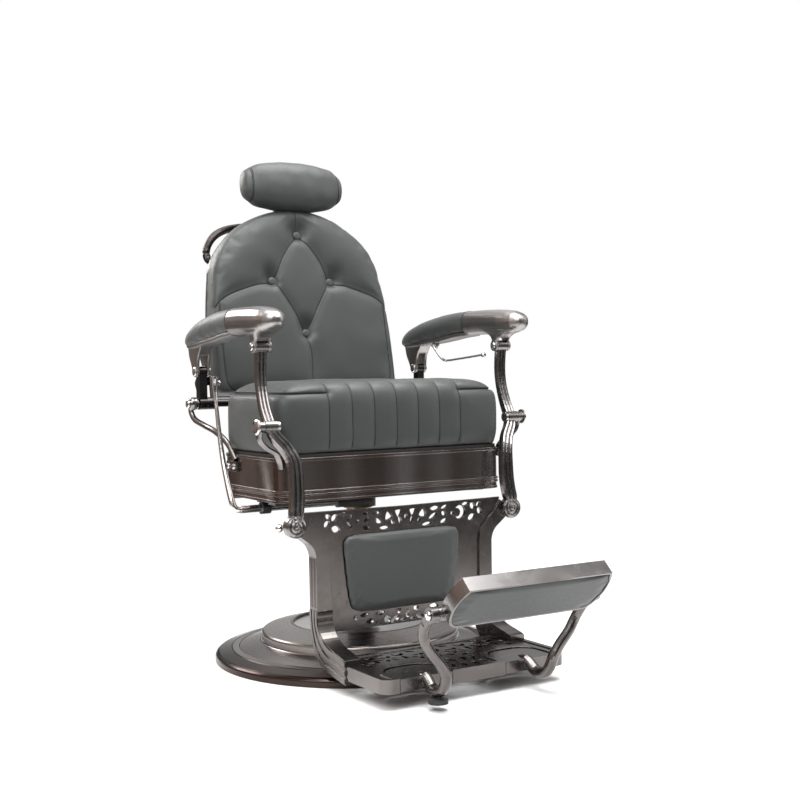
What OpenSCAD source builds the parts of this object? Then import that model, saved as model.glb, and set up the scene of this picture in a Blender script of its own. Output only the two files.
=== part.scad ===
// Hydraulic barber chair, built as the real one comes apart on a bench.
// +Z is up, the sitter faces -Y, and the origin is the centre of the base on the floor.

/* [Base] */
// Radius of the round base at the floor
base_r = 325; // [310:1:345]
// Height of the upright rim at the floor
rim_h = 11; // [8:1:14]
// Inner radius of the dark outer ring
ring_in_r = 272; // [264:1:280]
// Height of the ring where it meets the cover
ring_h = 28; // [24:1:34]
// Radius of the raised upper tier of the cover
tier_r = 222; // [200:1:240]
// Height of the cover at the foot of the upper tier
tier_foot_h = 40; // [36:1:46]
// Height of the shoulder of the upper tier
tier_top_h = 60; // [54:1:68]
// Radius of the round opening in the cover
collar_r = 150; // [120:1:170]
// Height of the lip round that opening
lip_h = 77; // [72:1:84]
// Sheet thickness of the pressed cover
cover_t = 3; // [2:0.5:4]

/* [Lift pump] */
// Outer radius of the pump cylinder
cyl_r = 42; // [38:1:46]
// Bore radius of the pump cylinder
cyl_bore_r = 32; // [30:0.5:34]
// Height of the top of the pump cylinder
cyl_top = 322; // [300:1:324]
// Radius of the ram
ram_r = 25; // [22:0.5:27]
// Radius of the spigot on top of the ram
spigot_r = 18; // [15:0.5:20]
// Length of the guide bush
bush_len = 42; // [30:1:60]
// Radius of the lever shaft
shaft_r = 8; // [6:0.5:9]
// Distance of the lever shaft in front of the column
shaft_y = 36; // [34:1:40]
// Height of the lever shaft
shaft_z = 350; // [348:1:352]
// Distance of the hand lever from the side of the seat box
lever_out = 44; // [40:1:50]
// Height of the top of the hand lever
lever_top = 632; // [600:1:640]

/* [Seat] */
// Half the width of the seat box
box_half_w = 278; // [270:1:279]
// Distance from the column to the front of the seat box
box_front = 177; // [165:1:180]
// Distance from the column to the back of the seat box
box_back = 165; // [150:1:168]
// Height of the underside of the seat box
box_z = 370; // [368:1:374]
// Height of the seat box
box_h = 92; // [86:1:96]
// Wall thickness of the seat box
box_wall = 6; // [4:0.5:9]
// Radius of the front corners of the seat box
box_front_r = 36; // [24:1:44]
// Radius of the rear corners of the seat box
box_rear_r = 96; // [70:1:110]
// Height of the seat cushion
cushion_h = 152.5; // [130:0.5:158]
// Thickness of the seat board
board_t = 7; // [6:1:12]

/* [Linkage] */
// Distance of the front pivots in front of the column
front_pivot_y = 179; // [177:1:181]
// Height of the front pivots
front_pivot_z = 529; // [527:1:531]
// Distance of the rear pivots behind the column
rear_pivot_y = 190; // [188:1:192]
// Height of the rear pivots
rear_pivot_z = 571; // [569:1:573]
// Distance of the armrest's front pin in front of the column
front_pin_y = 143; // [142:1:145]
// Height of the armrest's front pin
front_pin_z = 691; // [689:1:693]
// Length of the back link between the rear pivot and the armrest's rear pin
back_link = 72; // [70:1:74]
// Radius of the pivot bolts
pivot_r = 7; // [6:0.5:8]
// Radius of the armrest pins
pin_r = 5; // [4:0.5:6]

/* [Back] */
// Lean of the back from the vertical, in degrees
back_tilt = 9.4; // [8:0.2:11]
// Half the width of the back across the sitter's waist
back_half_w = 234; // [226:1:237]
// Length of the back along its lean
back_len = 453; // [430:1:460]
// Thickness of the back cushion
back_cushion_t = 56; // [48:1:62]
// Depth of the metal shell behind the back cushion
shell_t = 24; // [18:1:30]
// Width of the headrest
headrest_w = 268; // [220:1:280]
// Height of the headrest
headrest_h = 121; // [100:1:128]
// Depth of the headrest
headrest_d = 88; // [70:1:92]

/* [Armrests] */
// Distance of an armrest's middle from the side of the seat box
arm_out = 24; // [23:0.5:25]
// Half the width of an armrest
arm_half_w = 31; // [27:1:33]
// Radius of the recline release wire
wire_r = 3; // [2:0.5:4]

/* [Leg frame] */
// Half the width of the leg frame at its waist
waist_half_w = 219; // [210:1:226]
// Half the width of the flat panel between the stiles
panel_half_w = 185; // [178:1:190]
// Height of the top edge of the leg frame
panel_top = 353; // [346:1:357]
// Height of the bottom edge of the panel
panel_bottom = 103; // [98:1:112]
// Thickness of the panel casting
panel_t = 9; // [7:1:12]
// Depth of the stiles from front to back
stile_d = 34; // [28:1:38]
// Thickness of the padding on the leg panel
leg_pad_t = 14; // [10:1:20]

/* [Footplate and footrest] */
// Half the width of the footplate
plate_half_w = 217; // [212:1:222]
// Height of the top of the footplate
plate_top = 60; // [57:1:64]
// Thickness of the openwork top of the footplate
plate_t = 8; // [6:1:10]
// Distance from the column to the front edge of the footplate
plate_front = 468; // [455:1:478]
// Distance between a footrest arm's foot and the middle of the chair
arm_foot_x = 123; // [118:1:128]
// Half the width of the notch for a footrest arm
notch_half_w = 60; // [56:1:62]
// Half the width of the foot pad
foot_pad_half_w = 176; // [150:1:177]
// Length of the foot pad from edge to edge
foot_pad_len = 107; // [100:1:112]
// Depth of the foot pad's metal tray
tray_d = 31; // [26:1:34]
// Radius of the foot pad's bolts
foot_bolt_r = 6; // [5:0.5:7]

/* [Clearances] */
// Running clearance of a shaft in its bore
run = 0.05; // [0.03:0.01:0.1]
// Gap between soft pieces and what lies beside them
soft_gap = 0.3; // [0.3:0.1:1]
// Side clearance between parts that turn past each other
side_gap = 0.5; // [0.3:0.1:1]

/* [Hidden] */
$fn = 64;
hull_fn = 32;
tiny = 0.01;

// Sizes across the chair that follow the seat box.
arm_x = box_half_w + arm_out;
bar_x = box_half_w + 14;
lever_x = box_half_w + lever_out;

gunmetal = [0.36, 0.33, 0.31];
dark_metal = [0.24, 0.23, 0.24];
bright = [0.78, 0.79, 0.8];
black_paint = [0.07, 0.07, 0.08];
leather = [0.27, 0.29, 0.28];
board_wood = [0.6, 0.48, 0.33];
bronze = [0.66, 0.5, 0.28];
rubber_black = [0.05, 0.05, 0.05];

// ---- Curves, sweeps and lofts ----

// A point on a Catmull-Rom curve through four neighbours, t from 0 to 1.
function curve_point(a, b, c, d, t) =
    0.5 * (2 * b + (c - a) * t + (2 * a - 5 * b + 4 * c - d) * t * t
    + (3 * b - a - 3 * c + d) * t * t * t);

// A smooth open curve through the points, with n steps between neighbours.
function smooth(pts, n) = let (last = len(pts) - 1) [
    for (i = [0 : last - 1], k = [0 : n - 1])
        curve_point(pts[max(i - 1, 0)], pts[i], pts[i + 1], pts[min(i + 2, last)], k / n),
    pts[last]];

function unit(v) = v / norm(v);

// The direction of travel at ring i of a path.
function travel(path, i) =
    unit(path[min(i + 1, len(path) - 1)] - path[max(i - 1, 0)]);

// The across vector of a section at ring i, as close to the side vector as the path allows.
function across(path, i, side) = let (t = travel(path, i)) unit(side - (side * t) * t);

// Side walls and two end caps for rings of m points.
function tube_faces(rings, m) = concat(
    [for (i = [0 : rings - 2], j = [0 : m - 1])
        let (a = i * m + j, b = i * m + (j + 1) % m) [a, b + m, b]],
    [for (i = [0 : rings - 2], j = [0 : m - 1])
        let (a = i * m + j, b = i * m + (j + 1) % m) [a, a + m, b + m]],
    [[for (j = [0 : m - 1]) j], [for (j = [m - 1 : -1 : 0]) (rings - 1) * m + j]]);

// A section, given as [across, up] pairs, carried along a path; size scales it at each ring.
module sweep(path, section, size = [], side = [1, 0, 0]) {
    m = len(section);
    polyhedron(points = [for (i = [0 : len(path) - 1], s = section)
        let (k = len(size) > 0 ? size[i] : 1, u = across(path, i, side), v = cross(travel(path, i), u))
        path[i] + k * s[0] * u + k * s[1] * v],
        faces = tube_faces(len(path), m), convexity = 8);
}

// An oval section with m points.
function oval(w, h, m = 12) = [for (i = [0 : m - 1]) [w * cos(360 * i / m), h * sin(360 * i / m)]];

// The section of the S-arm castings: three rounded ribs run along its front face.
function fluted(w, h) = [for (q = [[-0.85, -1], [0.85, -1], [1, -0.6], [1, 0.35], [0.88, 0.85], [0.66, 1],
    [0.46, 0.85], [0.35, 0.62], [0.24, 0.85], [0, 1.02], [-0.24, 0.85], [-0.35, 0.62], [-0.46, 0.85],
    [-0.66, 1], [-0.88, 0.85], [-1, 0.35], [-1, -0.6]]) [w * q[0], h * q[1]]];

// One point of a rounded cross-section between an ellipse (2) and a box (higher powers).
function squircle(a, p) =
    [sign(cos(a)) * pow(abs(cos(a)), 2 / p), sign(sin(a)) * pow(abs(sin(a)), 2 / p)];

// A loft along Y. Each station is [y, x, lower z, upper z, half width].
module loft_y(stations, power = 3, m = 20) {
    polyhedron(points = [for (s = stations, j = [0 : m - 1])
        let (q = squircle(-360 * j / m, power))
        [s[1] + s[4] * q[0], s[0], (s[2] + s[3]) / 2 + (s[3] - s[2]) / 2 * q[1]]],
        faces = tube_faces(len(stations), m), convexity = 4);
}

// A loft along Z. Each station is [z, x, y, half size in x, half size in y].
module loft_z(stations, power = 3, m = 20) {
    polyhedron(points = [for (s = stations, j = [0 : m - 1])
        let (q = squircle(360 * j / m, power)) [s[1] + s[3] * q[0], s[2] + s[4] * q[1], s[0]]],
        faces = tube_faces(len(stations), m), convexity = 4);
}

// ---- Small shared shapes ----

module ring(r_out, r_in, h) {
    difference() {
        cylinder(r = r_out, h = h);
        translate([0, 0, -1]) cylinder(r = r_in, h = h + 2);
    }
}

// A cylinder along X from x0 to x1 at [y, z].
module rod_x(x0, x1, y, z, r) {
    translate([x0, y, z]) rotate([0, 90, 0]) cylinder(r = r, h = x1 - x0);
}

// A bolt head with a dished face, on the plane x = 0 and pointing to +X.
module dome_head(r, h) {
    rotate([0, 90, 0]) rotate_extrude()
        polygon([[0, 0], [r, 0], [r, h * 0.4], [r * 0.8, h * 0.8], [r * 0.45, h], [0, h]]);
}

// A rounded eye along X, fuller in the middle than at its faces.
module barrel(x0, w, y, z, r) {
    translate([x0, y, z]) rotate([90, 0, 90]) rotate_extrude() polygon([[0, 0], [0.72 * r, 0],
        [0.9 * r, 0.14 * w], [0.98 * r, 0.32 * w], [r, 0.5 * w], [0.98 * r, 0.68 * w],
        [0.9 * r, 0.86 * w], [0.72 * r, w], [0, w]]);
}

module mirrored() {
    children();
    mirror([1, 0, 0]) children();
}

// ---- Base ----

plate_edge_r = ring_in_r - 3;
hub_r = 70;
hub_h = 45;
floor_t = 10;
cyl_foot = 12;
collar_lip = 6;
collar_t = 2.5;
collar_z = lip_h - 8;

module base_plate() {
    color(dark_metal) difference() {
        union() {
            cylinder(r = plate_edge_r, h = floor_t, $fn = 96);
            cylinder(r = hub_r, h = hub_h);
            for (a = [0 : 60 : 300])
                rotate([0, 0, a]) translate([hub_r - 4, -4, 0])
                    cube([plate_edge_r - hub_r - 30, 8, floor_t + 12]);
        }
        translate([0, 0, cyl_foot]) cylinder(r = cyl_r + run, h = hub_h);
    }
}

module base_ring() {
    step = (base_r - ring_in_r) / 53;
    color(dark_metal) rotate_extrude($fn = 128) translate([ring_in_r, 0]) polygon([
        [0, 0], [53 * step, 0], [53 * step, rim_h], [52 * step, rim_h + 3], [49 * step, rim_h + 6],
        [44 * step, rim_h + 8.5], [18 * step, ring_h - 2], [16.5 * step, ring_h - 3.5],
        [14.5 * step, ring_h - 1.5], [0, ring_h]]);
}

module base_cover() {
    edge = plate_edge_r + 2.5;
    color(gunmetal) rotate_extrude($fn = 128) polygon([
        [edge, floor_t + 0.5], [edge, ring_h - 0.5], [tier_r + 3, tier_foot_h],
        [tier_r + 1, tier_foot_h + 1.5], [tier_r, tier_foot_h + 4], [tier_r, tier_top_h - 4],
        [tier_r - 1.5, tier_top_h - 1], [tier_r - 5, tier_top_h + 1.5], [collar_r + 6, lip_h - 1],
        [collar_r + 4, lip_h], [collar_r + 1, lip_h], [collar_r, lip_h - 1.5],
        [collar_r, collar_z], [collar_r - collar_lip, collar_z],
        [collar_r - collar_lip, collar_z - cover_t], [collar_r + 4, collar_z - cover_t],
        [collar_r + 5, lip_h - 1 - cover_t], [tier_r - 6, tier_top_h + 1 - cover_t],
        [tier_r - cover_t, tier_top_h - 5], [tier_r - cover_t, tier_foot_h + 2],
        [tier_r, tier_foot_h - 1.5], [edge - cover_t, ring_h - 3.5],
        [edge - cover_t, floor_t + 0.5]]);
}

module collar_plate() {
    rise = 4;
    color(bright) rotate_extrude($fn = 96) polygon([
        [cyl_r + 2, collar_z + rise], [hub_r, collar_z + rise], [hub_r + 12, collar_z],
        [collar_r - 0.5, collar_z], [collar_r - 0.5, collar_z + collar_t],
        [hub_r + 12.5, collar_z + collar_t], [hub_r, collar_z + rise + collar_t],
        [cyl_r + 2, collar_z + rise + collar_t]]);
}

// ---- Lift pump ----

head_z = cyl_top + 12;
washer_t = 3;
shoulder_z = head_z - washer_t - 0.5;
piston_h = 20;
piston_z = 40;
mount_t = 8;
mount_z = box_z - mount_t;

module pump_cylinder() {
    color(black_paint) difference() {
        union() {
            translate([0, 0, cyl_foot]) cylinder(r = cyl_r, h = cyl_top - cyl_foot);
            translate([0, 0, collar_z + 10]) cylinder(r = cyl_r + 6, h = 10);
            translate([0, 0, cyl_top - 12]) cylinder(r = cyl_r + 2, h = 12);
        }
        translate([0, 0, cyl_foot + 12]) cylinder(r = cyl_bore_r, h = cyl_top);
    }
}

module guide_bush() {
    color(bronze) translate([0, 0, cyl_top - bush_len]) ring(cyl_bore_r - run, ram_r + run, bush_len);
}

module ram() {
    color(bright) {
        translate([0, 0, piston_z + piston_h])
            cylinder(r = ram_r, h = shoulder_z - piston_z - piston_h);
        translate([0, 0, shoulder_z]) cylinder(r = spigot_r, h = mount_z - shoulder_z - 3);
    }
}

module piston() {
    color(rubber_black) translate([0, 0, piston_z]) rotate_extrude() polygon([
        [0, 0], [cyl_bore_r - 3, 0], [cyl_bore_r - run, 3], [cyl_bore_r - run, 7],
        [cyl_bore_r - 3, 8], [cyl_bore_r - 3, 12], [cyl_bore_r - run, 13],
        [cyl_bore_r - run, 17], [cyl_bore_r - 3, piston_h], [0, piston_h]]);
}

module thrust_washer() {
    color(bronze) translate([0, 0, shoulder_z + 0.2])
        ring(cyl_bore_r, spigot_r + 4 * run, washer_t);
}

head_boss_x = 74;

module pump_head() {
    color(black_paint) difference() {
        union() {
            translate([0, 0, head_z]) cylinder(r = cyl_r - 1, h = mount_z - head_z);
            rod_x(-head_boss_x, 12, -shaft_y, shaft_z, mount_z - shaft_z);
            translate([-head_boss_x, -shaft_y - 6, shaft_z]) cube([head_boss_x, 12, mount_z - shaft_z]);
        }
        translate([0, 0, head_z - 1]) cylinder(r = spigot_r + run, h = mount_z - head_z - 1);
        rod_x(-head_boss_x - 1, -22, -shaft_y, shaft_z, shaft_r + run);
    }
}

// ---- Seat ----

board_z = box_z + box_h;
cushion_z = board_z + board_t;
seat_side_gap = 4;
board_inset = 3;

// Outline of the seat, grown by g on every side.
module seat_outline(g = 0) {
    hw = box_half_w + g;
    f = box_front + g;
    b = box_back + g;
    rf = box_front_r + g;
    rr = box_rear_r + g;
    translate([-hw, -f + rf]) square([2 * hw, f + b - rf - rr]);
    translate([-hw + rf, -f]) square([2 * (hw - rf), rf + tiny]);
    translate([-hw + rr, b - rr - tiny]) square([2 * (hw - rr), rr + tiny]);
    for (s = [-1, 1]) {
        translate([s * (hw - rf), -f + rf]) circle(r = rf);
        translate([s * (hw - rr), b - rr]) circle(r = rr);
    }
}

module seat_band(z, h, g) {
    translate([0, 0, z]) linear_extrude(h) seat_outline(g);
}

// The lug on the back carries the strut's upper pin in a short slot, yoke_r from the rear pivots.
yoke_r = 101;
yoke_drop = 5;
yoke_mid = 22.5;
slot_half = 3.9;
// The strut's line passes through the pin's place at half recline, along the arc's chord.
strut_angle = yoke_drop + yoke_mid;
strut_pin_z = box_z - 18;
strut_mid_y = rear_pivot_y + (yoke_r - slot_half) * cos(strut_angle);
strut_mid_z = rear_pivot_z - (yoke_r - slot_half) * sin(strut_angle);
strut_pin_y = strut_mid_y - (strut_mid_z - strut_pin_z) * tan(strut_angle);
ear_t = 6;
ear_x = 9;

module seat_mount() {
    reach_x = box_half_w - 14;
    color(black_paint) difference() {
        union() {
            translate([0, 0, mount_z]) cylinder(r = 82, h = mount_t);
            translate([-24, 0, mount_z]) cube([48, box_back - 8, mount_t]);
            translate([0, 0, mount_z]) linear_extrude(mount_t) for (sx = [-1, 1], sy = [-1, 1])
                polygon([[sx * 20, sy * 70], [sx * 70, sy * 20], [sx * reach_x, sy * 84],
                    [sx * reach_x, sy * 118]]);
            for (s = [-1, 1]) translate([s < 0 ? -ear_x - ear_t : ear_x, 0, 0])
                rotate([90, 0, 90]) linear_extrude(ear_t) union() {
                    polygon([[74, mount_z + 1], [74, mount_z - 6], [strut_pin_y - 12, strut_pin_z - 13],
                        [strut_pin_y, strut_pin_z - 13], [strut_pin_y + 4, strut_pin_z + 12],
                        [box_back - 4, mount_z + 1]]);
                    translate([strut_pin_y, strut_pin_z]) circle(r = 13);
                }
        }
        rod_x(-ear_x - ear_t - 1, ear_x + ear_t + 1, strut_pin_y, strut_pin_z, pin_r + run);
        at_mount_bolts() translate([0, 0, -1]) cylinder(r = mount_bolt_r + run, h = mount_t + 2);
    }
}

bead = 3;
mould_z = box_z + 14;

// The box's outside with its mouldings, grown by g.
module seat_box_form(g = 0) {
    seat_band(box_z - g, box_h + g, g);
    seat_band(box_z - g, 5 + g, 1.5 + g);
    seat_band(mould_z - g, 4 + 2 * g, bead + g);
    seat_band(mould_z + 7 - g, 4 + 2 * g, bead + g);
    seat_band(board_z - 6 - g, 6 + g, bead - 1 + g);
}

// Film of paint between a bracket and the box it is screwed to.
touch = 0.05;

// What the brackets lie against: the box, the board and the cushion above them.
module seat_side() {
    seat_box_form(touch);
    seat_band(board_z - tiny, board_t + 4, side_gap);
    seat_band(board_z + board_t + 3, 60, seat_side_gap + side_gap);
}

// The places of the rear brackets' screws.
module at_bracket_screws() {
    for (dy = [-14, 14]) translate([box_half_w, rear_foot_y + dy, board_z - 26]) children();
}

module seat_box() {
    color(gunmetal) difference() {
        seat_box_form();
        seat_band(box_z + 5, box_h, -box_wall);
        mirrored() at_bracket_screws() rod_x(-20, 10, 0, 0, 3 + run);
        at_mount_bolts() translate([0, 0, -1]) cylinder(r = mount_bolt_r + run, h = 60);
    }
}

mount_bolt_r = 5;

module at_mount_bolts() {
    for (a = [0 : 90 : 270]) rotate([0, 0, a]) translate([58, 0, mount_z]) children();
}

module mount_bolts() {
    color(bright) at_mount_bolts() {
        cylinder(r = mount_bolt_r, h = mount_t + 4.5);
        translate([0, 0, -5.5]) cylinder(r = mount_bolt_r + 4, h = 5.5, $fn = 6);
    }
}

module seat_board() {
    color(board_wood) difference() {
        seat_band(board_z, board_t, -board_inset);
        translate([0, 0, board_z - 1]) cylinder(r = 30, h = board_t + 2);
    }
}

module seat_cushion() {
    top = cushion_z + soft_gap + cushion_h;
    crown = 8;
    color(leather) hull() {
        seat_band(cushion_z + soft_gap, 2, -5);
        seat_band(cushion_z + soft_gap + 22, cushion_h - 60, seat_side_gap, $fn = hull_fn);
        seat_band(top - 14, 2, -4, $fn = hull_fn);
        translate([0, -8, 0]) seat_band(top - 2 - tiny, 2, -crown - 26, $fn = hull_fn);
    }
}

// ---- Brackets and pivots ----

eye_w = 14;
ball_w = 22;
s_arm_half_w = 13;
front_eye_x = arm_x + s_arm_half_w + side_gap;
bar_half_w = 9;
rear_eye_x = bar_x + bar_half_w + side_gap;
front_eye_r = 11;
rear_eye_r = 15;

module front_bracket() {
    xe = front_eye_x + eye_w / 2;
    y = -front_pivot_y;
    z = front_pivot_z;
    corner = -box_front + 14;
    color(gunmetal) difference() {
        union() {
            sweep(smooth([[box_half_w - 7, corner + 2, board_z - 20], [box_half_w - 3, corner, board_z - 4],
                [box_half_w + 6, corner - 4, board_z + 11], [box_half_w + 24, y + 13, board_z + 22],
                [xe - 5, y + 11, z - 31], [xe, y + 9, z - 16], [xe, y + 3, z]], 5),
                oval(11, 5, 16), side = [0, 1, 0]);
            rod_x(front_eye_x, front_eye_x + eye_w, y, z, front_eye_r);
        }
        rod_x(front_eye_x - 1, front_eye_x + eye_w + 1, y, z, pivot_r + run);
        seat_side();
        rod_x(front_eye_x - 20, front_eye_x, y, z, 2 * front_eye_r);
        rod_x(front_eye_x + eye_w, front_eye_x + eye_w + 20, y, z, 2 * front_eye_r);
    }
}

rear_foot_y = 52;
flange_t = 7;

module rear_bracket() {
    xe = rear_eye_x + ball_w / 2;
    y = rear_pivot_y;
    z = rear_pivot_z;
    color(gunmetal) difference() {
        union() {
            sweep(smooth([[box_half_w + 3, rear_foot_y - 14, board_z - 12],
                [box_half_w + 8, rear_foot_y + 14, board_z + 22], [box_half_w + 16, rear_foot_y + 56, board_z + 46],
                [xe - 12, y - 32, board_z + 60], [xe - 4, y + 4, z - 36], [xe, y + 16, z - 16],
                [xe, y + 6, z - 2]], 5), oval(6, 7, 14));
            translate([box_half_w + touch, rear_foot_y - 25, board_z - 37]) cube([flange_t, 50, 22]);
            barrel(rear_eye_x, ball_w, y, z, rear_eye_r);
        }
        rod_x(rear_eye_x - 1, rear_eye_x + ball_w + 1, y, z, pivot_r + run);
        seat_side();
        rod_x(rear_eye_x - 20, rear_eye_x, y, z, 2 * rear_eye_r);
        at_bracket_screws() rod_x(-1, 20, 0, 0, 3 + run);
    }
}

module front_bracket_l() { mirror([1, 0, 0]) front_bracket(); }
module front_bracket_r() { front_bracket(); }
module rear_bracket_l() { mirror([1, 0, 0]) rear_bracket(); }
module rear_bracket_r() { rear_bracket(); }

// A bolt through a pivot: nut inside, shank and domed knob outside.
module pivot_bolt(x_in, x_out, y, z, head_r) {
    rod_x(x_in - 6, x_in, y, z, pivot_r + 4);
    rod_x(x_in, x_out, y, z, pivot_r);
    translate([x_out, y, z]) dome_head(head_r, 6);
}

module front_pivot_bolts() {
    color(bright) mirrored() pivot_bolt(arm_x - s_arm_half_w - side_gap, front_eye_x + eye_w + side_gap,
        -front_pivot_y, front_pivot_z, front_eye_r + 5);
}

module rear_pivot_bolts() {
    color(bright) mirrored() pivot_bolt(bar_x - bar_half_w - side_gap, rear_eye_x + ball_w + side_gap,
        rear_pivot_y, rear_pivot_z, pivot_r + 3);
}

module bracket_screws() {
    color(bright) mirrored() at_bracket_screws() {
        translate([flange_t + touch, 0, 0]) dome_head(6, 4);
        rod_x(-9, flange_t + touch, 0, 0, 3);
    }
}

bearing_y0 = -shaft_y - 12;

module lever_bearing() {
    x0 = box_half_w - 50;
    color(black_paint) difference() {
        union() {
            translate([-x0 - 40, bearing_y0 - 22, box_z - 3]) cube([40, 68, 3]);
            rod_x(-x0 - 30, -x0 - 10, -shaft_y, shaft_z, shaft_r + 5);
            translate([-x0 - 30, -shaft_y - 7, shaft_z]) cube([20, 14, box_z - 2 - shaft_z]);
        }
        rod_x(-x0 - 41, -x0 + 1, -shaft_y, shaft_z, shaft_r + run);
    }
    color(bright) for (dy = [-16, 38]) translate([-x0 - 20, bearing_y0 + dy, box_z - 9]) cylinder(r = 6, h = 6);
}

// ---- Recline strut ----

strut_tube_r = 14;
strut_rod_r = 6;
// Distance from the lower pin to the upper pin at rest.
strut_len = (strut_mid_z - strut_pin_z) / cos(strut_angle) + yoke_r * yoke_mid * PI / 180;
strut_tube_end = 134;
strut_tube_foot = 28;
strut_bore_foot = strut_tube_foot + 6;

module on_strut() {
    translate([0, strut_pin_y, strut_pin_z]) rotate([-strut_angle, 0, 0]) children();
}

module strut_cylinder() {
    color(black_paint) on_strut() difference() {
        union() {
            rod_x(-ear_x + side_gap, ear_x - side_gap, 0, 0, 11);
            translate([-7, -7, 0]) cube([14, 14, strut_tube_foot + 1]);
            translate([0, 0, strut_tube_foot])
                cylinder(r = strut_tube_r, h = strut_tube_end - strut_tube_foot);
        }
        rod_x(-ear_x, ear_x, 0, 0, pin_r + run);
        translate([0, 0, strut_bore_foot]) cylinder(r = strut_rod_r + run, h = strut_tube_end);
    }
}

module strut_pin() {
    color(bright) {
        rod_x(-ear_x - ear_t - 1, ear_x + ear_t + 1, strut_pin_y, strut_pin_z, pin_r);
        for (s = [-1, 1]) translate([s * (ear_x + ear_t + 0.3), strut_pin_y, strut_pin_z])
            rotate([0, 0, s < 0 ? 180 : 0]) dome_head(8, 4);
    }
}

lug_t = 6;
lug_gap = 7;

module strut_rod() {
    color(bright) on_strut() {
        translate([0, 0, strut_len - 120]) cylinder(r = strut_rod_r, h = 106);
        translate([-6, -9, strut_len - 16]) cube([12, 18, 16]);
        rod_x(-6, 6, 0, strut_len, 9);
        rod_x(-lug_gap - lug_t - 2, lug_gap + lug_t + 2, 0, strut_len, pin_r);
    }
}

// ---- Hand lever ----

lever_path = let (y = -shaft_y, h = lever_top - shaft_z) smooth([[-lever_x + 18, y, shaft_z],
    [-lever_x + 8, y + 1, shaft_z + 1], [-lever_x + 2, y + 4, shaft_z + 10],
    [-lever_x, y + 12, shaft_z + 0.1 * h], [-lever_x, y + 27, shaft_z + 0.2 * h],
    [-lever_x, y + 48, shaft_z + 0.37 * h], [-lever_x, y + 65, shaft_z + 0.58 * h],
    [-lever_x, y + 76, shaft_z + 0.76 * h], [-lever_x, y + 83, shaft_z + 0.86 * h],
    [-lever_x, y + 86, shaft_z + 0.93 * h], [-lever_x, y + 84, shaft_z + h]], 4);

// The lever's thickness, as a share of the shaft's, from its foot up to the paddle on top.
lever_taper = [[0, 0.97], [0.1, 0.92], [0.25, 0.82], [0.6, 0.66], [0.8, 0.56], [0.88, 0.7],
    [0.94, 1], [0.985, 1.22], [1, 1.14]];

module hand_lever() {
    color(bright) {
        rod_x(-lever_x + 16, -24, -shaft_y, shaft_z, shaft_r);
        sweep(lever_path, oval(shaft_r, shaft_r - 1, 16),
            [for (q = lever_path) lookup((q[2] - shaft_z) / (lever_top - shaft_z), lever_taper)],
            side = [0, 1, 0]);
    }
}

module lever_stud() {
    color(bright) translate([-lever_x + shaft_r + 0.45, -shaft_y + 85, lever_top - 14]) dome_head(5, 6);
}

// ---- Back ----

back_base_y = 205;
back_base_z = 625;
back_drop = 34;

// The back's own frame: +Z runs up the back, +Y through its thickness.
module on_back() {
    translate([0, back_base_y, back_base_z]) rotate([-back_tilt, 0, 0]) children();
}

// The back's sides lean in by back_taper from back_low up to the arch at the top.
back_taper = 17;
back_low = 40;
arch_rise = 160;
arch_h = back_len - back_drop - arch_rise;

// Half width of the back's outline at height h along it.
function back_half(h) = let (t = max(0, (h - arch_h) / arch_rise))
    (back_half_w - back_taper * pow(min(1, max(0, h - back_low) / (arch_h - back_low)), 2))
    * sqrt(max(0, 1 - pow(t, 1.65)));

back_steps = 44;

// One side of the outline from the bottom up, with closer points towards the top of the arch.
function back_edge(inset) = [for (i = [0 : back_steps])
    let (u = i / back_steps, h = -back_drop + inset + (back_len - 2 * inset) * (1 - pow(1 - u, 1.7)))
    [max(tiny, back_half(h) - inset), h]];

module back_outline(inset = 0) {
    edge = back_edge(inset);
    n = len(edge);
    polygon(concat(edge, [for (i = [n - 1 : -1 : 0]) [-edge[i][0], edge[i][1]]]));
}

// A slab with the back's outline from depth y0 to y1.
module back_slab(y0, y1, inset = 0) {
    translate([0, y1, 0]) rotate([90, 0, 0]) linear_extrude(y1 - y0) back_outline(inset);
}

shell_y = back_cushion_t + soft_gap;
shell_back = shell_y + shell_t;
shell_wall = 4;

module back_cushion() {
    color(leather) on_back() {
        back_slab(10, back_cushion_t, 0.5);
        back_slab(4, 10, 5);
        back_slab(0, 4, 13);
    }
}

module back_buttons() {
    color(leather) on_back() for (p = [[0, 352], [-78, 237], [78, 237], [0, 110]])
        translate([p[0], -soft_gap, p[1]]) rotate([90, 0, 0]) rotate_extrude($fn = 24)
            polygon([[0, 0], [9, 0], [9, 1.5], [7, 4], [4, 5.2], [0, 5.6]]);
}

module back_shell() {
    color(gunmetal) on_back() difference() {
        union() {
            difference() {
                back_slab(shell_y, shell_back, 0);
                back_slab(shell_y - 1, shell_back - shell_wall, shell_wall);
            }
            back_slab(shell_back - tiny, shell_back + 4, 30);
            for (s = [-1, 1]) translate([s * 120 - 4, shell_y, 20]) cube([8, shell_t - 2, 270]);
        }
        for (s = [-1, 1]) for (h = [8, 34])
            translate([s * (back_half_w - 30), shell_back, h]) rotate([-90, 0, 0]) translate([0, 0, -10])
                cylinder(r = 3.1, h = 20);
    }
}

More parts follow.
